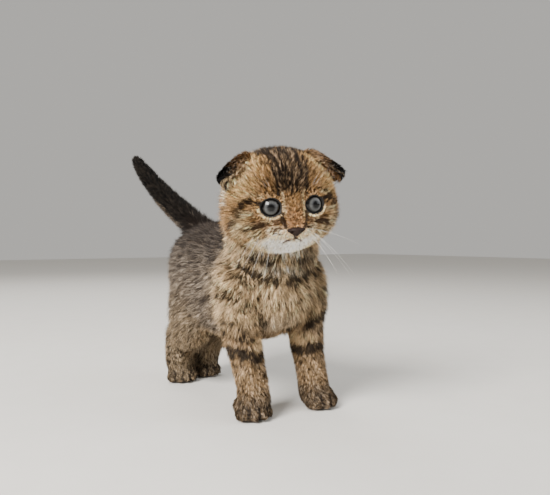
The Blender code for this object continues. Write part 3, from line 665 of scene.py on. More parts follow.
def headColours(local):
    # tones laid over each other from nape to nose, pale marks, then the streaks
    azimuth = np.degrees(np.arctan2(local[:, 0], -local[:, 1]))
    elevation = np.degrees(np.arctan2(local[:, 2], np.hypot(local[:, 0], local[:, 1])))
    azimuth = azimuth + 1.0 * cloudNoise(local, 0.005, 11)
    elevation = elevation + 1.0 * cloudNoise(local, 0.005, 12)
    wide = np.abs(azimuth)
    narrow = wide * np.cos(np.radians(elevation))
    eye = eyeDistance(local)
    light = np.tile(tones["gold"], (len(local), 1))
    top = smoothStep(21, 15, narrow) * smoothStep(8, 16, elevation)
    back = np.maximum(smoothStep(95, 120, wide), smoothStep(54, 64, elevation))
    light = mix(light, tones["temple"], smoothStep(30, 48, wide) * smoothStep(-4, 8, elevation) * smoothStep(100, 80, wide))
    light = mix(light, tones["crown"], np.maximum(top, back))
    rear = smoothStep(98, 135, wide) * smoothStep(-62, -40, elevation)
    light = mix(light, tones["back"] + tones["crown"] * 0.3, 0.8 * rear)
    light = mix(light, tones["orange"], smoothStep(10, 6, wide) * smoothStep(-3, -11, elevation) * (elevation > -24))
    brown = strokeMask(wide, elevation, ((20, -19), (36, -20), (47, -22)), 4.5, 0.6)
    light = mix(light, tones["brown"] * 1.9, 0.65 * brown)
    light = mix(light, tones["beige"], strokeMask(wide, elevation, ((44, -30), (66, -18)), 7.0, 0.6) * 0.8)
    muzzle = smoothStep(36, 26, wide) * smoothStep(-21, -26, elevation)
    light = mix(light, tones["muzzle"], muzzle)
    jaw = smoothStep(-27, -37, elevation + 0.10 * wide) * smoothStep(84, 66, wide)
    light = mix(light, tones["beige"] * 1.12, jaw)
    chin = smoothStep(-33, -42, elevation + 0.03 * wide) * smoothStep(56, 26, wide)
    light = mix(light, tones["cream"], chin)
    for line, width, tone, strength in paleStrokes:
        light = mix(light, tones[tone], strength * strokeMask(wide, elevation, line, width, 0.6))
    ring = smoothStep(0.0078, 0.0068, eye) * smoothStep(-1, -7, elevation)
    light = mix(light, tones["beige"] * 1.1, ring * 0.75)
    stripe = np.zeros(len(local))
    for line, width in foreheadStrokes:
        stripe = np.maximum(stripe, strokeMask(azimuth, elevation, line, width, 0.5))
    for line, width, strength in cheekStrokes:
        stripe = np.maximum(stripe, strength * strokeMask(wide, elevation, line, width, 0.5))
    crown = smoothStep(48, 62, elevation) * smoothStep(-0.7, 0.2, cloudNoise(local * [2.2, 0.7, 0.7], 0.008, 13))
    nape = smoothStep(90, 112, wide) * smoothStep(-0.5, 0.2, cloudNoise(local * [2.4, 0.7, 0.6], 0.010, 14)) * 0.95
    stripe = np.maximum(stripe, np.maximum(0.85 * crown * smoothStep(40, 30, narrow), nape))
    bare = np.maximum(muzzle * 0.8, chin)
    tick = 0.85 + 0.15 * np.maximum(top, back) - 0.4 * smoothStep(11, 7, wide) * smoothStep(6, -4, elevation)
    tick = np.clip(tick * (1 - 0.9 * bare) * (1 - ring) * (1 - 0.5 * jaw), 0.03, 1)
    dark = mix(np.tile(tones["stripe"], (len(local), 1)), tones["brown"], smoothStep(0, -24, elevation) * 0.30)
    return light, dark, stripe, tick


def necklaceMask(points, height, drop, width, gap, reach):
    # a band across the chest that hangs lowest in the middle, faint there and ending at each side
    around = np.abs(np.arctan2(points[:, 0] + 0.007, -(points[:, 1] + 0.030)))
    level = points[:, 2] + 0.0009 * cloudNoise(points, 0.006, 21) - height - drop * (1 - np.cos(around))
    mask = smoothStep(width * 1.4, width * 0.6, np.abs(level)) * smoothStep(reach * 1.25, reach, around)
    return mask * (0.35 + 0.65 * smoothStep(gap * 0.6, gap * 1.4, around)) * (points[:, 1] < -0.03)


necklaces = (  # height, drop, half width, gap, reach and strength
    (0.0814, 0.024, 0.0030, 0.07, 0.80, 1.0), (0.0934, 0.014, 0.0022, 0.16, 0.64, 1.0),
    (0.0875, 0.030, 0.0016, 1.00, 1.6, 0.85), (0.0710, 0.030, 0.0014, 0.60, 1.3, 0.65), (0.0640, 0.020, 0.0013, 0.75, 1.3, 0.6),
)
legBars = (  # height, slope, half width, strength on the left and on the right leg, and how far in it starts
    (0.0378, 0.36, 0.0032, 1.0, 1.0, -0.020), (0.0450, 0.62, 0.0015, 0.7, 0.85, 0.001), (0.0495, 0.70, 0.0015, 0.5, 0.75, 0.002),
    (0.0550, 0.40, 0.0042, 0.95, 0.0, -0.006), (0.0550, -0.30, 0.0028, 0.0, 0.9, -0.012), (0.0610, 0.80, 0.0015, 0.75, 0.7, 0.002),
    (0.0310, 0.20, 0.0009, 0.55, 0.55, -0.02), (0.0338, 0.45, 0.0011, 0.75, 0.75, 0.003), (0.0655, 0.6, 0.0013, 0.5, 0.5, -0.002),
)


def bodyColours(points):
    # dark back, grey-brown flanks, beige chest, tan legs with bars, browner paws and a black-topped tail
    x, y, z = points.T
    count = len(points)
    light = np.tile(tones["flank"], (count, 1))
    nape = smoothStep(0.004, 0.013, (y + 0.033) * 0.77 + (z - 0.090) * 0.64) * smoothStep(0.080, 0.092, z)
    front = smoothStep(-0.002, -0.044, y + 0.004 * cloudNoise(points, 0.009, 26)) * (1 - nape)
    light = mix(light, tones["chest"], front)
    middle = smoothStep(0.016, 0.004, np.abs(x + 0.006)) * front
    light = mix(light, tones["cream"], middle * smoothStep(0.066, 0.050, z) * 0.35)
    light = mix(light, tones["cream"], front * smoothStep(0.018, 0.007, np.abs(x + 0.008)) * smoothStep(0.0965, 0.0990, z) * 0.5)
    light = mix(light, tones["cream"], middle * smoothStep(0.0036, 0.0012, np.abs(z - 0.0884)) * 0.4)
    legs = smoothStep(0.068, 0.044, z)
    light = mix(light, tones["leg"], legs * smoothStep(-0.005, -0.030, y))
    thighs = smoothStep(0.086, 0.034, z + 0.004 * cloudNoise(points, 0.010, 27)) * smoothStep(0.0, 0.03, y)
    light = mix(light, tones["hind"], thighs)
    light = mix(light, tones["chest"], smoothStep(0.050, 0.042, z) * smoothStep(0.022, 0.012, np.abs(x)) * (np.abs(y) < 0.03))
    light = mix(light, tones["paw"], smoothStep(0.020, 0.011, z) * smoothStep(0.02, -0.02, y))
    back = smoothStep(0.074, 0.108, z) * (1 - front)
    light = mix(light, tones["back"] * (1 + 0.2 * nape[:, None]), back)
    dark = np.tile(tones["flankDark"], (count, 1))
    dark = mix(dark, tones["stripe"], np.maximum(front, 0.7 * back))
    sway = y + 0.20 * (z - 0.08) + 0.0035 * cloudNoise(points, 0.011, 22)
    mackerel = smoothStep(0.25, 0.9, np.sin(2 * math.pi * sway / 0.0145)) * smoothStep(-0.046, -0.034, y)
    mackerel = mackerel * (0.40 + 0.18 * smoothStep(0.09, 0.115, z)) * smoothStep(0.035, 0.055, z)
    spine = smoothStep(0.013, 0.003, np.abs(x)) * smoothStep(0.104, 0.112, z) * smoothStep(-0.05, -0.02, y)
    rump = smoothStep(0.026, 0.046, y) * smoothStep(0.085, 0.108, z)
    stripe = np.maximum(mackerel, np.maximum(0.8 * spine, 0.75 * rump))
    hindBars = smoothStep(0.4, 0.9, np.sin(2 * math.pi * (z + 0.15 * y + 0.002 * cloudNoise(points, 0.008, 25)) / 0.0125))
    stripe = np.maximum(stripe, 0.30 * hindBars * smoothStep(0.06, 0.05, z) * smoothStep(0.02, 0.03, y))
    outward = np.where(x > 0, x - 0.022, -0.021 - x)
    tuft = front * smoothStep(0.0045, 0.0020, np.abs(z - 0.0445)) * smoothStep(0.007, 0.002, np.abs(outward + 0.003))
    light = mix(light, tones["beige"], 0.5 * tuft)
    for height, slope, half, leftStrength, rightStrength, inner in legBars:
        level = z - height - slope * np.maximum(outward, -0.004) + 0.0018 * cloudNoise(points, 0.006, 23)
        bar = smoothStep(half * 1.6, half * 0.5, np.abs(level)) * smoothStep(-0.026, -0.032, y)
        bar = bar * smoothStep(inner, inner + 0.003, outward)
        if slope < 0:
            bar = bar * smoothStep(0.001, -0.003, outward)
        strength = np.where(x > 0, leftStrength, rightStrength)
        broken = smoothStep(-0.75, -0.25, cloudNoise(points, 0.005, 24 + int(height * 1e4)))
        stripe = np.maximum(stripe, strength * bar * broken * smoothStep(0.007, 0.012, np.abs(x)))
    for height, drop, half, gap, reach, strength in necklaces:
        stripe = np.maximum(stripe, strength * necklaceMask(points, height, drop, half, gap, reach))
    # painted shadow: a dark band where the front legs meet the chest, laid in with the stripes
    armpitShadow = smoothStep(0.0045, 0.0025, np.abs(np.abs(x + 0.001) - 0.0125)) * smoothStep(0.060, 0.056, z)
    stripe = np.maximum(stripe, 0.85 * armpitShadow * smoothStep(0.042, 0.046, z) * smoothStep(-0.036, -0.042, y))
    # painted shade in the grooves between the toes
    stripe = np.maximum(stripe, toeGrooveShade(points))
    tick = 0.90 - 0.35 * front - 0.25 * legs + 0.2 * smoothStep(0.022, 0.012, z)
    share, gap = tailShare(points)
    onTail = tailWeight(points, share, gap)
    along = unit(tailPoint(share + 0.02) - tailPoint(share - 0.02))
    above = np.array([0.55, -0.25, 1.0])
    dorsal = unit(above - along * (along @ above)[:, None])
    up = ((points - tailPoint(share)) * dorsal).sum(1) / np.interp(share, *tailRadii.T)
    black = np.maximum(smoothStep(-0.50, -0.15, up), smoothStep(0.52, 0.62, share))
    rings = smoothStep(0.2, 0.8, np.sin(2 * math.pi * (share - 0.02) / 0.17)) * 0.5 + 0.5 * smoothStep(0.4, 0.55, share)
    black = np.maximum(black, rings * 0.9 * (1 - smoothStep(0.08, 0.04, np.abs(share - 0.70))))
    light = mix(light, tones["tailGrey"], onTail)
    dark = mix(dark, tones["tail"], onTail)
    stripe = stripe + (black - stripe) * onTail
    return light, dark, stripe, tick


def toeGrooveShade(points):
    # painted shade: dark lines in the grooves between the toes of each paw
    mask = np.zeros(len(points))
    for paws, half in ((frontPaws, 0.0114), (hindPaws, 0.0110)):
        for side, joint, toes, turn in paws.values():
            local = (points - np.array(toes)) @ turned("Z", turn)
            across = local[:, 0] / half
            line = np.abs(across[:, None] - np.array([-0.49, 0.0, 0.49])).min(1)
            inPaw = (np.abs(across) < 0.8) * smoothStep(0.0095, 0.0055, local[:, 1]) * (local[:, 1] > -0.004)
            mask = np.maximum(mask, 0.8 * smoothStep(0.12, 0.05, line) * inPaw * smoothStep(0.0105, 0.0085, local[:, 2]))
    return mask


# Shader building

class Value:
    # a socket whose operators add Math nodes
    def __init__(self, shade, socket):
        self.shade, self.socket = shade, socket

    def calc(self, operation, first, second):
        node = self.shade.node("ShaderNodeMath", {"operation": operation}, {0: first, 1: second})
        return Value(self.shade, node.outputs[0])

    def __add__(self, other):
        return self.calc("ADD", self, other)

    def __radd__(self, other):
        return self.calc("ADD", other, self)

    def __sub__(self, other):
        return self.calc("SUBTRACT", self, other)

    def __rsub__(self, other):
        return self.calc("SUBTRACT", other, self)

    def __mul__(self, other):
        return self.calc("MULTIPLY", self, other)

    def __rmul__(self, other):
        return self.calc("MULTIPLY", other, self)


class Shade:
    # one material, its nodes made from a type, settings and the values or links of their sockets
    def __init__(self, name):
        self.material = bpy.data.materials.new(name)
        self.material.use_nodes = True
        self.tree = self.material.node_tree
        self.surface = self.tree.nodes["Principled BSDF"]

    def node(self, kind, settings=None, sockets=None):
        made = self.tree.nodes.new(kind)
        for key, value in (settings or {}).items():
            if key == "stops":
                for index, (place, colour) in enumerate(value):
                    steps = made.color_ramp.elements
                    step = steps[index] if index < 2 else steps.new(place)
                    step.position, step.color = place, (*colour, 1)
            else:
                setattr(made, key, value)
        for key, value in (sockets or {}).items():
            self.feed(made.inputs[key], value)
        return made

    def feed(self, target, value):
        if isinstance(value, Value):
            value = value.socket
        if isinstance(value, bpy.types.NodeSocket):
            self.tree.links.new(value, target)
        else:
            target.default_value = value

    def value(self, socket):
        return Value(self, socket)

    def attribute(self, name, output="Color"):
        return self.node("ShaderNodeAttribute", {"attribute_name": name}).outputs[output]

    def objectPlace(self):
        return self.node("ShaderNodeTexCoord").outputs["Object"]

    def noise(self, place, scale, detail=2.0, roughness=0.5):
        made = self.node("ShaderNodeTexNoise", None, {
            "Vector": place, "Scale": scale, "Detail": detail, "Roughness": roughness,
        })
        return self.value(made.outputs["Fac"])

    def blend(self, mode, share, first, second):
        made = self.node("ShaderNodeMix", {"data_type": "RGBA", "blend_type": mode})
        colours = [s for s in made.inputs if s.type == "RGBA"]
        self.feed(made.inputs[0], share)
        self.feed(colours[0], first)
        self.feed(colours[1], second)
        return [s for s in made.outputs if s.type == "RGBA"][0]

    def bump(self, height, strength, distance):
        made = self.node("ShaderNodeBump", None, {"Height": height, "Strength": strength, "Distance": distance})
        self.feed(self.surface.inputs["Normal"], made.outputs[0])

    def finish(self, **sockets):
        for key, value in sockets.items():
            self.feed(self.surface.inputs[key.replace("_", " ")], value)
        return self.material


def coatMaterial(name, roughness):
    # the markings, varied a little from hair to hair
    shade = Shade(name)
    place = shade.objectPlace()
    fleck = shade.noise(place, 900.0, 1.0)
    grey = shade.node("ShaderNodeCombineColor", None, {
        "Red": 0.72 + 0.56 * fleck, "Green": 0.72 + 0.56 * fleck, "Blue": 0.74 + 0.52 * fleck,
    }).outputs[0]
    colour = shade.blend("MULTIPLY", 1.0, shade.attribute("coat"), grey)
    return shade.finish(
        Base_Color=colour, Roughness=roughness + 0.12 * fleck, Specular_IOR_Level=0.14,
    )


def skinMaterial():
    shade = Shade("skin")
    place = shade.objectPlace()
    down = shade.noise(place, 1400.0, 2.0)
    grey = shade.node("ShaderNodeCombineColor", None, {
        "Red": 0.7 + 0.5 * down, "Green": 0.7 + 0.5 * down, "Blue": 0.7 + 0.5 * down,
    }).outputs[0]
    shade.bump(down, 0.35, 0.0004)
    return shade.finish(
        Base_Color=shade.blend("MULTIPLY", 1.0, shade.attribute("coat"), grey), Roughness=0.62 + 0.2 * down,
    )


# The coat

coatStyles = {  # hairs to a tuft, stations, width, lift in degrees, gather at the tip, and how tufts and hairs vary
    "face": {"width": 0.00017, "lift": 45, "gather": 0.30, "swirl": 0.28, "stray": 0.12, "guard": 0.02, "rise": 0.94, "fleck": 0.06},
    "crown": {"width": 0.00021, "lift": 50, "gather": 0.30, "swirl": 0.34, "stray": 0.15, "guard": 0.12, "rise": 0.90, "fleck": 0.08},
    "ear": {"width": 0.00022, "lift": 34, "gather": 0.45, "swirl": 0.28, "stray": 0.16, "guard": 0.06, "rise": 0.94, "fleck": 0.03},
    "body": {"width": 0.00030, "lift": 46, "gather": 0.30, "swirl": 0.38, "stray": 0.16, "guard": 0.03, "rise": 0.86, "fleck": 0.05},
    "leg": {"width": 0.00028, "lift": 42, "gather": 0.30, "swirl": 0.32, "stray": 0.16, "guard": 0.03, "rise": 0.86, "fleck": 0.05},
    "paw": {"width": 0.00022, "lift": 34, "gather": 0.35, "swirl": 0.26, "stray": 0.15, "guard": 0.01, "rise": 0.90, "fleck": 0.04},
    "tail": {"width": 0.00034, "lift": 55, "gather": 0.15, "swirl": 0.30, "stray": 0.18, "guard": 0.05, "rise": 0.95, "fleck": 0.0},
}
hairsInTuft = 8
bendSteps = 2
quickShare = 1.0
dice = np.random.default_rng(61)


def scatter(points, triangles, density):
    # tuft roots at random over triangles, as many to an area as the density at their corners asks
    a, b, c = (points[triangles[:, k]] for k in range(3))
    area = np.linalg.norm(np.cross(b - a, c - a), axis=1) / 2
    want = area * density[triangles].mean(1)
    total = int(want.sum() * quickShare)
    chosen = np.searchsorted(np.cumsum(want) / want.sum(), dice.random(total))
    u, v = dice.random((2, total))
    fold = u + v > 1
    u, v = np.where(fold, 1 - u, u), np.where(fold, 1 - v, v)
    return chosen, np.stack([1 - u - v, u, v], 1)


def across(values, triangles, chosen, shares):
    # values at the corners blended to the scattered places
    return np.einsum("ik,ik...->i...", shares, values[triangles[chosen]])


def coatPiece(name, tufts, style, paint):
    # each tuft is a few ribbons that rise from the skin, bend over along the lie and draw together at their tips
    style = coatStyles[style]
    count, hairs, stations = len(tufts["root"]), hairsInTuft, bendSteps
    owner = np.repeat(np.arange(count), hairs)
    total = len(owner)
    normal, depth = tufts["normal"][owner], tufts["depth"][owner]
    swirl = style["swirl"] * (cloudNoise(tufts["root"], 0.009, 31) + dice.normal(0, 0.7, count))[owner]
    swirl = swirl + dice.normal(0, style["stray"], total)
    lie = tufts["lie"][owner]
    side = np.cross(lie, normal)
    lie = lie * np.cos(swirl)[:, None] + side * np.sin(swirl)[:, None]
    side = np.cross(lie, normal)
    spread = tufts["spread"][owner] * np.sqrt(dice.random(total))
    turn = dice.random(total) * 2 * math.pi
    offset = lie * (spread * np.cos(turn))[:, None] + side * (spread * np.sin(turn))[:, None]
    guard = dice.random(total) < style["guard"]
    rise = depth * np.clip(style["rise"] * dice.normal(1, 0.15, count)[owner] * dice.normal(1, 0.10, total), 0.4, 1.15)
    rise = rise * np.where(guard, 1.30, 1.0)
    lift = dice.normal(style["lift"], 6, count)[owner] + dice.normal(0, 5, total) + 14 * guard
    lift = np.clip(lift, 0.66 * style["lift"], 80)
    forward = rise / np.tan(np.radians(lift))
    base = tufts["root"][owner]
    root = base + offset - normal * (0.0003 + 0.05 * depth)[:, None]
    tip = base + offset * style["gather"] + lie * forward[:, None] + normal * rise[:, None]
    knee = base + offset * 0.9 + lie * (0.30 * forward)[:, None] + normal * (0.66 * rise)[:, None]
    roll = dice.normal(0, 0.5, total)
    flat = side * np.cos(roll)[:, None] + normal * np.sin(roll)[:, None]
    half = style["width"] / 2 * dice.uniform(0.75, 1.25, total) * np.where(guard, 0.7, 1.0)
    steps = np.linspace(0, 1, stations + 1)
    widths = np.interp(steps, [0, 0.5, 1], [0.95, 0.85, 0])
    middle = [(1 - t) ** 2 * root + 2 * t * (1 - t) * knee + t * t * tip for t in steps]
    columns = []
    for line, width in zip(middle[:-1], widths[:-1]):
        columns += [line - flat * (half * width)[:, None], line + flat * (half * width)[:, None]]
    points = np.stack(columns + [middle[-1]], 1)
    points[..., 2] = np.maximum(points[..., 2], 0.0001)
    corner = 2 * stations + 1
    first = (np.arange(total) * corner)[:, None]
    quads = np.concatenate([first + [2 * k, 2 * k + 1, 2 * k + 3, 2 * k + 2] for k in range(stations - 1)])
    tips = first + [corner - 3, corner - 2, corner - 1]
    mesh = facesMesh(name, points.reshape(-1, 3), quads, tips)
    reach = tufts["depth"] / math.tan(math.radians(style["lift"]))
    markings = paint(tufts["root"] + tufts["lie"] * (0.6 * reach)[:, None])
    pointColours(mesh, "coat", hairColours(markings, owner, steps, style["fleck"]))
    placeOnSkin(mesh, tufts["place"][owner], total, stations)
    piece = newObject(name, mesh)
    mesh.materials.append(furMaterial)
    mesh.transform(toRow)
    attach(piece, "root")
    print(name, total, "hairs", len(quads) * 2 + len(tips), "triangles")
    return piece


# the root entry is painted shade: the share of its tone a hair keeps where it leaves the skin
tuftTones = {
    "spread": 0.24, "darkShare": 0.46, "paleShare": 0.30, "pale": 1.45, "paleAdded": 0.10, "root": 0.24, "ragged": 0.20,
    "own": 0.15, "hair": 0.14,
}


def hairColours(markings, owner, steps, fleck):
    # a tuft is dark, plain or pale by chance, and wholly in or out of a stripe; its hairs darken toward the root
    # as painted shade down in the coat, and some end in a dark tip
    light, dark, stripe, tick = markings
    tufts, total = len(light), len(owner)
    chance = np.where(dice.random(total) < tuftTones["own"], dice.random(total), dice.random(tufts)[owner])
    tone = light[owner] * np.exp(dice.normal(0, tuftTones["spread"], tufts))[owner][:, None]
    bright = tone * (tuftTones["pale"] + tuftTones["paleAdded"])
    bright = bright + tuftTones["paleAdded"] * tones["cream"] * smoothStep(0.0, 0.10, light[owner, 1])[:, None]
    tone = mix(tone, bright, chance > 1 - tuftTones["paleShare"])
    tone = mix(tone, dark[owner], 0.85 * (chance < tuftTones["darkShare"] * tick[owner]))
    edge = dice.uniform(0.5 - tuftTones["ragged"], 0.5 + tuftTones["ragged"], tufts) + (dice.random(tufts) < fleck)
    inside = smoothStep(edge - 0.12, edge + 0.12, stripe)
    hair = dice.normal(1, tuftTones["hair"], total)
    ticked = dice.random(total) < 0.45 * tick[owner]
    rings = []
    for t in steps:
        # painted shade: each hair starts at the root share of its tone and reaches full tone 0.6 of the way out
        ring = tone * (tuftTones["root"] + (1.06 - tuftTones["root"]) * min(1, t / 0.6))
        ring = mix(ring, dark[owner], ticked * max(0, t - 0.5) * 1.5)
        ring = mix(ring, dark[owner] * (1.5 - 0.5 * t), inside[owner] * (0.97 - 0.10 * t))
        rings.append(np.clip(ring * hair[:, None], 0.003, 0.95))
    doubled = [rings[k // 2] for k in range(2 * len(rings) - 1)]
    return np.stack(doubled, 1).reshape(-1, 3)


def placeOnSkin(mesh, place, total, stations):
    # the map OFBake: every tuft is a small patch at its root's place on the unwrapped skin
    patch = 0.003
    layer = mesh.uv_layers.new(name="OFBake")
    steps = np.linspace(0, 1, stations + 1)
    quads = []
    for k in range(stations - 1):
        quads.append([(0, steps[k]), (1, steps[k]), (1, steps[k + 1]), (0, steps[k + 1])])
    tips = np.array([(0, steps[-2]), (1, steps[-2]), (0.5, 1)])
    start = np.clip(place, 0.002, 0.994)[:, None]
    parts = [(start + patch * np.array(quad)).reshape(-1, 2) for quad in quads]
    parts.append((start + patch * tips).reshape(-1, 2))
    layer.data.foreach_set("uv", np.concatenate(parts).astype(np.float32).ravel())


toRow = np.eye(4)
toRow[:3, 3] = -boxMiddle
toRow = Matrix(toRow.tolist())

furMaterial = coatMaterial("fur", 0.50)

# Body
print("body")
body = makeBody()
outer, normals, triangles = meshArrays(body.data)
depth = bodyDepth(outer)
skinPoints = outer - normals * depth[:, None]
body.data.vertices.foreach_set("co", skinPoints.astype(np.float32).ravel())
body.data.update()

# Head and ears
print("head")
headGrid = {"rings": 170, "sides": 200}
headOuter, headNormals, headSkin = makeHeadGrids(headGrid["rings"], headGrid["sides"])
headForm = ringsForm(fromHead(headSkin[1:-1]), fromHead(headSkin[0].mean(0)), fromHead(headSkin[-1].mean(0)))
headObject = joinedForms("head_form", [headForm])
earGrids = {}
for earName, (side, spread) in earSides.items():
    outerEar = earGrid(side, spread, (0.0008, 0.0009, 0.0010))
    innerEar = earGrid(side, spread, (0.0016, 0.0019, 0.0013))
    earGrids[earName] = (fromHead(outerEar), fromHead(innerEar), side)
    earObject = joinedForms("ear_form", [shellForm(fromHead(outerEar), fromHead(innerEar))])
    modified(headObject, "BOOLEAN", operation="UNION", object=earObject, solver="MANIFOLD")
    settled(headObject)
    bpy.data.objects.remove(earObject)
skin = body
skin.name = "skin"
modified(skin, "BOOLEAN", operation="UNION", object=headObject, solver="MANIFOLD")
settled(skin)
bpy.data.objects.remove(headObject)
print("skin", len(skin.data.polygons), "faces")


def paintEar(points):
    # dark brown backs, blackest at the tip, with a pale rim
    local = toHead(points)
    gap = np.full(len(local), 1.0)
    for side, spread in earSides.values():
        rim = smoothRows(earLines["rim"], 60) * mm * [side * spread, 1, 1]
        gap = np.minimum(gap, np.linalg.norm(local[:, None] - rim, axis=-1).min(1))
    count = len(local)
    tip = smoothStep(0.021, 0.033, np.abs(local[:, 0])) * smoothStep(0.026, 0.017, local[:, 2])
    light = mix(np.tile(tones["ear"], (count, 1)), tones["earTip"], tip)
    light = mix(light, tones["gold"], 0.7 * smoothStep(0.025, 0.015, np.abs(local[:, 0])))
    rim = smoothStep(0.0013, 0.0005, gap) * np.where(local[:, 0] > 0, 0.4, 1)
    light = mix(light, tones["beige"], rim * 0.8)
    dark = np.tile(tones["earTip"], (count, 1))
    return light, dark, (0.20 + 0.5 * tip) * (1 - rim), 0.5 * (1 - rim)


def paintEarInside(points):
    # golden hair with a paler edge, and the whole inside of the left ear browned as painted shade
    local = toHead(points)
    low = smoothStep(0.020, 0.012, local[:, 2])
    light = mix(np.tile(tones["gold"], (len(local), 1)), tones["beige"], (0.3 + 0.4 * low) * smoothStep(0.02, -0.02, local[:, 0]))
    # painted shade: the inside of the left ear is browned all over
    light = mix(light, tones["brown"] * 1.5, 0.7 * (local[:, 0] > 0))
    dark = np.tile(tones["brown"], (len(local), 1))
    return light, dark, np.zeros(len(local)), np.full(len(local), 0.3)


def skinColours(points):
    # the coat's own markings where it grows, darkened as painted shade down among the hairs, bare lids, lips and pads
    local = toHead(points)
    onHead = np.linalg.norm(local / np.array(kitten["headHalf"]), axis=1) < 1.12
    onHead |= np.linalg.norm(local - [0, -0.03, -0.01], axis=1) < 0.018
    result = np.zeros((len(points), 3))
    for chosen, paint, place in ((onHead, headColours, local), (~onHead, bodyColours, points)):
        light, dark, stripe, tick = paint(place[chosen])
        # painted shade: the markings are pulled toward the dark tone, for the shade down among the hairs
        result[chosen] = mix(mix(light, dark * 2, 0.30 + 0.2 * tick), dark, stripe * 0.9)
    beyond = np.linalg.norm(local / np.array(kitten["headHalf"]), axis=1) > 1.01
    onEar = np.flatnonzero(beyond & (np.abs(local[:, 0]) > 0.015) & (local[:, 2] > 0.007) & (local[:, 2] < 0.034))
    gaps = [np.full(len(onEar), 1.0), np.full(len(onEar), 1.0)]
    for grids in earGrids.values():
        for k in range(2):
            grid = grids[k][::2, ::2].reshape(-1, 3)
            gaps[k] = np.minimum(gaps[k], np.linalg.norm(points[onEar, None] - grid, axis=-1).min(1))
    for near, paint in ((gaps[0] <= gaps[1], paintEar), (gaps[0] > gaps[1], paintEarInside)):
        chosen = onEar[near & (np.minimum(*gaps) < 0.002)]
        light, dark, stripe, tick = paint(points[chosen])
        # painted shade: the ear's skin is its coat's tone darkened, for the shade under the hairs
        result[chosen] = mix(light * 0.8, dark, stripe * 0.9)
    eye = eyeDistance(local)
    lid = smoothStep(0.0063, 0.0059, eye) * onHead
    result = mix(result, tones["lid"], lid)
    lips = smoothStep(0.0011, 0.0006, mouthDistance(local)) * (local[:, 1] < -0.02) * onHead
    result = mix(result, tones["lip"], 0.8 * lips)
    return mix(result, tones["pad"], smoothStep(0.0016, 0.0008, points[:, 2]))


def finishSkin():
    points = meshArrays(skin.data)[0]
    pointColours(skin.data, "coat", skinColours(points))
    skin.data.materials.clear()
    skin.data.materials.append(skinMaterial())
    skin.data.shade_smooth()
    skin.data.transform(toRow)
    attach(skin, "root")
    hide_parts(*[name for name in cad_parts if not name.startswith("eye") and name != "nose"])


finishSkin()

# Coat of the body
bodyDensity = {"torso": 0.56e6, "neck": 0.80e6, "leg": 0.88e6, "paw": 1.30e6, "tail": 0.90e6}


def bodyRegions(points):
    # which part of the coat a place belongs to
    share, gap = tailShare(points)
    onTail = tailWeight(points, share, gap) > 0.5
    y, z = points[:, 1], points[:, 2]
    legFront = (z < 0.056) & (y < -0.024)
    legHind = (z < 0.056) & (y > 0.012)
    region = np.full(len(points), "torso", dtype="<U6")
    region[(y < -0.030) & (z >= 0.056)] = "neck"
    region[legFront | legHind] = "leg"
    region[(z < 0.0165)] = "paw"
    region[onTail] = "tail"
    return region


def insideHead(points):
    # places well inside the head, where the body's coat can't grow
    local = toHead(points) / (np.array(kitten["headHalf"]) * 0.97)
    return (np.abs(local) ** 2.15).sum(1) < 1


def bodyPlace(points):
    # an unwrap of the body: round each part by its angle, along it by its length
    x, y, z = points.T
    u = 0.5 + np.arctan2(x, z - 0.079) / (2 * math.pi)
    v = (y + 0.075) / 0.155
    return np.stack([u * 0.98 + 0.01, v], 1)


def legPlace(points):
    # four columns, one to a leg, by the angle round it and the height
    column = (points[:, 0] > 0) * 1 + (points[:, 1] > 0) * 2
    axis = np.array([(-0.021, -0.047), (0.026, -0.047), (-0.016, 0.052), (0.016, 0.056)])[column]
    angle = 0.5 + np.arctan2(points[:, 0] - axis[:, 0], points[:, 1] - axis[:, 1]) / (2 * math.pi)
    return np.stack([(column + 0.04 + 0.92 * angle) / 4, np.clip(points[:, 2] / 0.062, 0, 1)], 1)


def pawPlace(points):
    return legPlace(points * [1, 1, 3.4])


def tailPlace(points):
    share, _ = tailShare(points)
    off = points - tailPoint(share)
    angle = 0.5 + np.arctan2(off[:, 0], off[:, 1] * 0.6 - off[:, 2]) / (2 * math.pi)
    return np.stack([angle, np.clip(share, 0, 1)], 1)


print("coat of the body")
region = bodyRegions(outer)
density = np.vectorize(bodyDensity.get)(region)
density[insideHead(outer)] = 0
density[outer[:, 2] < 0.0011] = 0
chosen, shares = scatter(outer, triangles, density)
rootNormal = unit(across(normals, triangles, chosen, shares))
rootOuter = across(outer, triangles, chosen, shares)
rootDepth = across(depth, triangles, chosen, shares)
groin = smoothStep(0.013, 0.009, np.abs(rootOuter[:, 0])) * smoothStep(0.013, 0.019, rootOuter[:, 2])
groin = groin * smoothStep(0.062, 0.054, rootOuter[:, 2]) * (rootOuter[:, 1] > 0.02)
britch = smoothStep(0.036, 0.044, rootOuter[:, 2]) * smoothStep(0.074, 0.062, rootOuter[:, 2])
britch = britch * smoothStep(0.2, 0.6, rootNormal[:, 1]) * (rootOuter[:, 1] > 0.030)
bodyTufts = {
    "root": rootOuter - rootNormal * rootDepth[:, None], "normal": rootNormal,
    "depth": rootDepth * (1 + 1.3 * groin + 0.35 * britch),
    "lie": bodyLie(rootOuter, rootNormal), "spread": 0.52 / np.sqrt(np.maximum(across(density, triangles, chosen, shares), 5e5)),
}
rootRegion = bodyRegions(rootOuter)
left, back = rootOuter[:, 0] > 0, rootOuter[:, 1] > 0.014
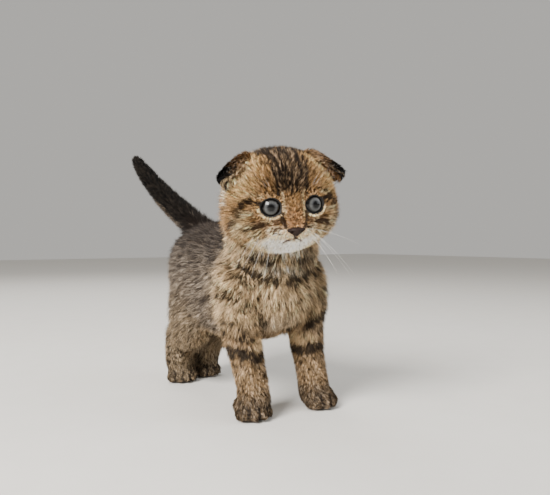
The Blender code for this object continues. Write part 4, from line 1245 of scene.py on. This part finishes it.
bodyPieces = (
    ("coat_neck_left", (rootRegion == "neck") & left, "body", bodyPlace, "brown_tabby"),
    ("coat_neck_right", (rootRegion == "neck") & ~left, "body", bodyPlace, "brown_tabby"),
    ("coat_side_left", (rootRegion == "torso") & left & ~back, "body", bodyPlace, "grey_tabby"),
    ("coat_side_right", (rootRegion == "torso") & ~left & ~back, "body", bodyPlace, "grey_tabby"),
    ("coat_rump_left", (rootRegion == "torso") & left & back, "body", bodyPlace, "grey_tabby"),
    ("coat_rump_right", (rootRegion == "torso") & ~left & back, "body", bodyPlace, "grey_tabby"),
    ("coat_legs_front", (rootRegion == "leg") & ~back, "leg", legPlace, "sandy_legs"),
    ("coat_leg_hind_left", (rootRegion == "leg") & left & back, "leg", legPlace, "sandy_legs"),
    ("coat_leg_hind_right", (rootRegion == "leg") & ~left & back, "leg", legPlace, "sandy_legs"),
    ("coat_paws", rootRegion == "paw", "paw", pawPlace, "sandy_legs"),
    ("coat_tail", rootRegion == "tail", "tail", tailPlace, "dark_tail"),
)
for pieceName, belongs, style, unwrap, slot in bodyPieces:
    tufts = {key: value[belongs] for key, value in bodyTufts.items()}
    tufts["place"] = unwrap(rootOuter[belongs])
    coatPiece(pieceName, tufts, style, bodyColours)

# Coat of the head
print("coat of the head")
headDensity = {"face": 3.0e6, "crown": 1.32e6, "ear": 2.2e6}


def ringTriangles(rows, columns):
    index = np.arange(rows * columns).reshape(rows, columns)
    after = np.roll(index, -1, 1)
    quads = np.stack([index[:-1], after[:-1], after[1:], index[1:]], -1).reshape(-1, 4)
    return np.vstack([quads[:, [0, 1, 2]], quads[:, [0, 2, 3]]])


def inNeck(local):
    # places on the back of the head that the neck covers
    points = fromHead(local)
    start, end = np.array([0.0, -0.033, 0.090]), headCentre + [0.002, 0.012, -0.006]
    along = end - start
    share = np.clip((points - start) @ along / (along @ along), 0, 1)
    return np.linalg.norm(points - start - share[:, None] * along, axis=1) < 0.0245


def headPlace(local):
    azimuth = np.arctan2(local[:, 0], -local[:, 1]) / (2 * math.pi) + 0.5
    elevation = np.arctan2(local[:, 2], np.hypot(local[:, 0], local[:, 1])) / math.pi + 0.5
    return np.stack([azimuth, elevation], 1)


local = headOuter.reshape(-1, 3)
localNormal = headNormals.reshape(-1, 3)
triangles = ringTriangles(*headOuter.shape[:2])
azimuth = np.abs(np.degrees(np.arctan2(local[:, 0], -local[:, 1])))
elevation = np.degrees(np.arctan2(local[:, 2], np.hypot(local[:, 0], local[:, 1])))
faceShare = smoothStep(66, 52, azimuth) * smoothStep(34, 24, elevation)
density = headDensity["crown"] + (headDensity["face"] - headDensity["crown"]) * faceShare
fromPad = local - kitten["nose"]
padWidth = np.interp(fromPad[:, 2], [-0.0034, -0.0026, 0.0006, 0.0019], [0.0006, 0.0022, 0.0050, 0.0044])
bare = (np.abs(fromPad[:, 0]) < padWidth) & (np.abs(fromPad[:, 2] + 0.0007) < 0.0026) & (local[:, 1] < -0.02)
bare |= (eyeDistance(local) < 0.0060) | inNeck(local) | ((mouthDistance(local) < 0.0008) & (local[:, 1] < -0.02))
density[bare] = 0
chosen, shares = scatter(local, triangles, density)
rootLocal = across(local, triangles, chosen, shares)
rootNormal = unit(across(localNormal, triangles, chosen, shares))
rootDepth = headDepth(rootLocal)
lieLocal = headLie(rootLocal, rootNormal)
headTufts = {
    "root": fromHead(rootLocal - rootNormal * rootDepth[:, None]), "normal": rootNormal @ headAxes.T,
    "depth": np.maximum(rootDepth, 0.0009), "lie": lieLocal @ headAxes.T,
    "spread": 0.58 / np.sqrt(np.maximum(across(density, triangles, chosen, shares), 1.2e6)), "place": headPlace(rootLocal),
}
faceRoot = across(faceShare, triangles, chosen, shares) > 0.5
leftRoot = rootLocal[:, 0] > 0


def paintHead(points):
    return headColours(toHead(points))


for pieceName, belongs, style in (
    ("coat_face_left", faceRoot & leftRoot, "face"), ("coat_face_right", faceRoot & ~leftRoot, "face"),
    ("coat_head_left", ~faceRoot & leftRoot, "crown"), ("coat_head_right", ~faceRoot & ~leftRoot, "crown"),
):
    coatPiece(pieceName, {key: value[belongs] for key, value in headTufts.items()}, style, paintHead)

# Coat of the ears


def makeEarCoat(name, surface, other, density, depth, paint):
    # tufts over one face of the flap, where it stands clear of the head
    rows, columns, _ = surface.shape
    points = surface.reshape(-1, 3)
    normals = gridNormals(surface, False)
    if (normals * (surface - other)).sum() < 0:
        normals = -normals
    lie = unit(np.gradient(surface, axis=1) * 1.0 + np.gradient(surface, axis=0) * 0.6).reshape(-1, 3)
    index = np.arange(rows * columns).reshape(rows, columns)
    quads = np.stack([index[:-1, :-1], index[1:, :-1], index[1:, 1:], index[:-1, 1:]], -1).reshape(-1, 4)
    triangles = np.vstack([quads[:, [0, 1, 2]], quads[:, [0, 2, 3]]])
    local = toHead(points) / (np.array(kitten["headHalf"]) * 0.98)
    chosen, shares = scatter(points, triangles, np.where((np.abs(local) ** 2.15).sum(1) < 1, 0.0, density))
    steps = np.stack(np.meshgrid(np.linspace(0.02, 0.98, rows), np.linspace(0.02, 0.98, columns), indexing="ij"), -1)
    tufts = {
        "root": across(points, triangles, chosen, shares), "depth": np.full(len(chosen), depth),
        "normal": unit(across(normals.reshape(-1, 3), triangles, chosen, shares)),
        "lie": unit(across(lie, triangles, chosen, shares)), "spread": np.full(len(chosen), 0.58 / math.sqrt(density)),
        "place": across(steps.reshape(-1, 2), triangles, chosen, shares),
    }
    coatPiece(name, tufts, "ear", paint)


print("coat of the ears")
for earName, (outerEar, innerEar, side) in earGrids.items():
    makeEarCoat("coat_ear_" + earName, outerEar, innerEar, headDensity["ear"], 0.0016, paintEar)
    makeEarCoat("coat_ear_inside_" + earName, innerEar, outerEar, headDensity["ear"] * 0.5, 0.0022, paintEarInside)

# Eyes


def eyeMaterial():
    # pupil, grey-blue iris with fine spokes and a dark outer ring, then the white painted near black, partly the eye's
    # own dark rim and partly painted shade under the lids, by distance from the look
    shade = Shade("eye_glass")
    place = shade.attribute("irisPlace", "Vector")
    parts = shade.node("ShaderNodeSeparateXYZ", None, {0: place}).outputs
    spokes = shade.noise(place, 2.2, 3.0, 0.7)
    far = shade.value(parts[2]) + 0.06 * spokes
    # past 0.81 the ball is near black: partly the eye's own dark rim, partly painted shade under the lids
    ramp = shade.node("ShaderNodeValToRGB", {"stops": (
        (0.0, srgb(2, 2, 3)), (1.0, srgb(5, 4, 4)), (0.29, srgb(2, 2, 3)), (0.37, srgb(34, 34, 36)),
        (0.48, srgb(62, 63, 64)), (0.62, srgb(70, 71, 71)), (0.72, srgb(44, 43, 42)), (0.81, srgb(6, 5, 5)),
    )}, {"Fac": far})
    grey = shade.node("ShaderNodeCombineColor", None, {
        "Red": 0.50 + spokes, "Green": 0.50 + spokes, "Blue": 0.50 + spokes,
    }).outputs[0]
    return shade.finish(
        Base_Color=shade.blend("MULTIPLY", 1.0, ramp.outputs[0], grey), Roughness=0.16, Coat_Weight=0.3,
        Coat_Roughness=0.03, IOR=1.33, Specular_IOR_Level=0.3,
    )


eyeShape = {"rings": 60, "sides": 72, "cornea": 0.0005, "irisRadius": 0.0049}
eyeGlass = eyeMaterial()


def makeEye(name, centre, look):
    # a ball with a low bulge over the iris
    sidewise = unit(np.cross([0, 0, 1.0], look))
    upward = np.cross(look, sidewise)
    angle = np.linspace(0, math.pi, eyeShape["rings"] + 2)[:, None]
    around = np.linspace(0, 2 * math.pi, eyeShape["sides"], endpoint=False)[None]
    aside = kitten["eyeRadius"] * np.sin(angle)
    bulge = eyeShape["cornea"] * np.clip(1 - (aside / 0.0052) ** 2, 0, None) ** 2 * (np.cos(angle) > 0)
    radius = kitten["eyeRadius"] + bulge
    ray = np.cos(angle)[..., None] * look + (np.sin(angle) * np.cos(around))[..., None] * sidewise
    ray = ray + (np.sin(angle) * np.sin(around))[..., None] * upward
    points = fromHead(centre + ray * radius[..., None])
    place = np.stack([3 * np.cos(around) + 0 * angle, 3 * np.sin(around) + 0 * angle, angle / 0.745 + 0 * around], -1)
    mesh = facesMesh("eyeball_" + name, *ringsForm(points[1:-1], points[0].mean(0), points[-1].mean(0)))
    pointVectors(mesh, "irisPlace", np.vstack([place[1:-1].reshape(-1, 3), [[0, 0, 0]], [[0, 0, 4]]]))
    mesh.transform(toRow)
    mesh.materials.append(eyeGlass)
    eye = newObject("eyeball_" + name, mesh)
    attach(eye, "root")
    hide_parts("eye_" + name)


for eyeName, (centre, look) in eyePlaces.items():
    makeEye(eyeName, centre, look)

# Nose leather


def noseMaterial():
    shade = Shade("nose_leather")
    place = shade.objectPlace()
    pebbles = shade.value(shade.node("ShaderNodeTexVoronoi", None, {"Vector": place, "Scale": 2600.0}).outputs["Distance"])
    cloud = shade.noise(place, 500.0)
    shade.bump(pebbles, 0.5, 0.00012)
    colour = shade.blend("MIX", cloud, (*srgb(21, 12, 9), 1), (*srgb(42, 27, 21), 1))
    return shade.finish(Base_Color=colour, Roughness=0.50 + 0.15 * cloud, Specular_IOR_Level=0.2)


nosePad = {"halfWidth": 0.0050, "top": 0.0019, "bottom": 0.0033, "front": 0.0034, "taper": 0.80}


def makeNose():
    # a pad whose outline is flat above and narrows to the philtrum below, with two nostrils
    angle = np.linspace(0, math.pi, 50)[:, None]
    around = np.linspace(0, 2 * math.pi, 72, endpoint=False)[None]
    aside = np.sin(angle) * np.cos(around)
    upward = np.sign(np.sin(around)) * np.abs(np.sin(angle) * np.sin(around)) ** 0.85
    z = upward * np.where(upward > 0, nosePad["top"], nosePad["bottom"])
    x = nosePad["halfWidth"] * aside * (1 - nosePad["taper"] * np.clip(-upward, 0, 1) ** 1.2)
    y = -nosePad["front"] * np.cos(angle) + 0.0006 * np.abs(aside) + 0 * around
    points = np.stack([x, y, z], -1)
    for side in (1, -1):
        points = grab(points, (side * 0.0026, -0.0026, -0.0006), (0.0014, 0.004, 0.0009), (0, 0.0018, 0))
        points = grab(points, (side * 0.0044, -0.0014, 0.0006), (0.0016, 0.004, 0.0016), (side * 0.0003, -0.0008, 0))
    points = fromHead(points + np.array(kitten["nose"]))
    mesh = facesMesh("nose_pad", *ringsForm(points[1:-1], points[0].mean(0), points[-1].mean(0)))
    mesh.transform(toRow)
    mesh.materials.append(noseMaterial())
    nose = newObject("nose_pad", mesh)
    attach(nose, "root")
    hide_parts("nose")


makeNose()

# Whiskers and brow hairs

whiskers = {"thickness": 0.00007, "browThickness": 0.000035, "earHairs": 44, "back": 0.28}
whiskerRows = {  # root and way in the head's frame in mm, then length in mm
    "left": (
        ((12.5, -24.5, -15.5), (0.82, -0.50, -0.22), 27), ((11.0, -26.5, -17.0), (0.61, -0.46, -0.62), 31),
        ((12.0, -25.0, -17.5), (0.60, -0.38, -0.68), 32), ((9.5, -27.0, -18.5), (0.46, -0.44, -0.78), 25),
        ((10.5, -26.0, -19.0), (0.54, -0.30, -0.76), 22), ((8.5, -28.0, -17.0), (0.52, -0.55, -0.60), 16),
    ),
    "right": (
        ((-12.0, -22.5, -21.5), (-0.38, -0.40, -0.83), 22), ((-15.5, -21.0, -20.0), (-0.50, -0.34, -0.78), 21),
        ((-18.0, -19.0, -19.0), (-0.60, -0.26, -0.74), 20), ((-20.0, -17.0, -18.0), (-0.68, -0.22, -0.68), 17),
    ),
}


def whiskerMaterial():
    shade = Shade("whisker")
    cloud = shade.noise(shade.objectPlace(), 300.0)
    colour = shade.blend("MIX", cloud, (*srgb(250, 248, 244), 1), (*srgb(228, 222, 212), 1))
    return shade.finish(Base_Color=colour, Roughness=0.35 + 0.1 * cloud)


def hairTubes(roots, ways, falls, lengths, radii, steps=12, sides=4):
    # thin tapered tubes that start one way and bow toward the fall
    t = np.linspace(0, 1, steps)[:, None]
    reach = lengths[:, None, None]
    line = roots[:, None] + reach * (t * ways[:, None] + t**2 * falls[:, None])
    along = unit(np.gradient(line, axis=1))
    one = unit(np.cross(along, [0.2, 0.3, 0.93]))
    two = np.cross(along, one)
    angle = np.linspace(0, 2 * math.pi, sides, endpoint=False)
    size = (radii[:, None] * (1 - 0.85 * t[:, 0]))[..., None, None]
    rings = line[:, :, None] + size * (one[:, :, None] * np.cos(angle)[:, None] + two[:, :, None] * np.sin(angle)[:, None])
    return [ringsForm(ring, middle[0], middle[-1]) for ring, middle in zip(rings, line)]


def makeWhiskers():
    # the whiskers of both pads, fine hairs over the brows, and pale wisps that hang out of the ears
    roots, ways, falls, lengths, radii = [], [], [], [], []
    for side, rows in (("left", 1), ("right", -1)):
        for root, way, length in whiskerRows[side]:
            roots.append(np.array(root) * mm + [0, -0.0004, 0])
            ways.append(unit(np.array(way) + dice.normal(0, 0.02, 3)))
            falls.append(np.array([0, 0.10, -0.16 + dice.normal(0, 0.04)]))
            lengths.append(length * mm)
            radii.append(whiskers["thickness"])
    for side in (1, -1):
        for index in range(2):
            roots.append(np.array([side * (0.0115 + 0.0018 * index), -0.0262, 0.0078 + 0.0006 * index]))
            ways.append(unit(np.array([side * (0.35 + 0.22 * index), -0.45, 0.8])))
            falls.append(np.array([side * 0.1, 0.30, -0.05]))
            lengths.append(0.011 * dice.normal(1, 0.12))
            radii.append(whiskers["browThickness"])
    for side in (1, -1):
        for index in range(whiskers["earHairs"]):
            along = dice.random()
            spot = np.array([23.0 + 7.0 * along, -11.5 + 4.5 * along, 15.5 - 6.5 * along]) + dice.normal(0, 0.8, 3)
            roots.append(spot * mm * [side, 1, 1])
            ways.append(unit(np.array([side * 0.55, -0.30, 0.75]) + dice.normal(0, 0.22, 3)))
            falls.append(np.array([side * 0.15, 0.05, -0.30]))
            lengths.append(0.0075 * dice.normal(1, 0.2))
            radii.append(whiskers["browThickness"])
    roots, ways, falls = (np.array(rows) for rows in (roots, ways, falls))
    falls = falls @ headAxes.T
    falls[:len(whiskerRows["left"])] += whiskers["back"] * np.array([0.574, 0.819, 0])  # bowed back beside the cheek
    forms = hairTubes(fromHead(roots), ways @ headAxes.T, falls, np.array(lengths), np.array(radii))
    piece = joinedForms("whiskers", forms)
    piece.data.materials.append(whiskerMaterial())
    piece.data.transform(toRow)
    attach(piece, "root")


makeWhiskers()

# Lips

lips = {"radius": 0.00042, "lift": 0.0002}


def frontOfHead(places):
    # the skin's front at places given by X and Z in the head's frame
    front = headSkin.reshape(-1, 3)
    front = front[front[:, 1] < -0.015]
    gap = np.linalg.norm(front[:, None, [0, 2]] - places, axis=-1)
    nearest = np.argsort(gap, axis=0)[:4]
    weight = 1 / (np.take_along_axis(gap, nearest, 0) + 1e-5)
    depth = (front[nearest][..., 1] * weight).sum(0) / weight.sum(0)
    return np.stack([places[:, 0], depth, places[:, 1]], -1)


def makeLips():
    # dark tubes along the philtrum and both halves of the mouth, thin at their ends
    line = mouthLine()
    forms = []
    for part, taper in ((line[:6], 0.3), (line[6:18], 0.75), (line[18:], 0.75)):
        path = fromHead(frontOfHead(part) + [0, -lips["lift"], 0])
        along = unit(np.gradient(path, axis=0))
        one = unit(np.cross(along, headAxes[:, 1]))
        two = np.cross(along, one)
        angle = np.linspace(0, 2 * math.pi, 8, endpoint=False)
        size = (lips["radius"] * (1 - taper * np.linspace(0, 1, len(path)) ** 1.5))[:, None, None]
        rings = path[:, None] + size * (one[:, None] * np.cos(angle)[:, None] + two[:, None] * np.sin(angle)[:, None])
        forms.append(ringsForm(rings, path[0], path[-1]))
    piece = joinedForms("lips", forms)
    shade = Shade("lip")
    cloud = shade.noise(shade.objectPlace(), 900.0)
    colour = shade.blend("MIX", cloud, (*srgb(34, 22, 18), 1), (*srgb(70, 48, 40), 1))
    piece.data.materials.append(shade.finish(Base_Color=colour, Roughness=0.5 + 0.1 * cloud))
    piece.data.transform(toRow)
    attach(piece, "root")


makeLips()

# Floor, light and camera


def makeFloor():
    shade = Shade("floor")
    cloud = shade.noise(shade.objectPlace(), 40.0)
    colour = shade.blend("MIX", cloud, (*srgb(214, 211, 205), 1), (*srgb(220, 217, 212), 1))
    points = np.array([(-3, -3, 0), (3, -3, 0), (3, 3, 0), (-3, 3, 0)], float)
    mesh = facesMesh("floor", points, np.array([[0, 1, 2, 3]]))
    mesh.materials.append(shade.finish(Base_Color=colour, Roughness=0.8))
    newObject("floor", mesh)


lamps = {  # place, size, power in watts and colour
    "key": ((-0.92, -0.38, 0.80), 0.50, 37.0, (1.0, 0.97, 0.93)),
    "fill": ((0.70, -0.60, 0.55), 0.80, 5.0, (0.95, 0.98, 1.0)),
    "back": ((0.10, 0.90, 0.90), 0.70, 6.0, (1.0, 0.99, 0.97)),
}


def makeLamps():
    for name, (place, size, power, colour) in lamps.items():
        light = bpy.data.lights.new(name, "AREA")
        light.energy, light.size, light.color = power, size, colour
        lamp = newObject(name, light)
        lamp.location = place
        aim = Matrix.Translation((0, 0, 0.07)).translation - lamp.location
        lamp.rotation_euler = aim.to_track_quat("-Z", "Y").to_euler()
    world = bpy.data.worlds.new("studio")
    bpy.context.scene.world = world
    world.use_nodes = True
    back = world.node_tree.nodes["Background"]
    back.inputs["Color"].default_value = (0.82, 0.80, 0.76, 1)
    back.inputs["Strength"].default_value = 0.62


view = {"place": (-0.2062, -0.3581, 0.105), "turn": -35.03, "focal": 600.0, "horizon": 7.5, "frameWidth": 550.0}


def makeCamera():
    # a level camera whose picture is 550 wide, with the horizon a little above the middle
    lens = bpy.data.cameras.new("camera")
    lens.sensor_width = 36.0
    lens.sensor_fit = "HORIZONTAL"
    lens.lens = view["focal"] / view["frameWidth"] * lens.sensor_width
    lens.shift_y = -view["horizon"] / view["frameWidth"]
    lens.clip_start = 0.01
    camera = newObject("camera", lens)
    camera.location = view["place"]
    camera.rotation_euler = (math.pi / 2, 0, math.radians(view["turn"]))
    bpy.context.scene.camera = camera


makeFloor()
makeLamps()
makeCamera()
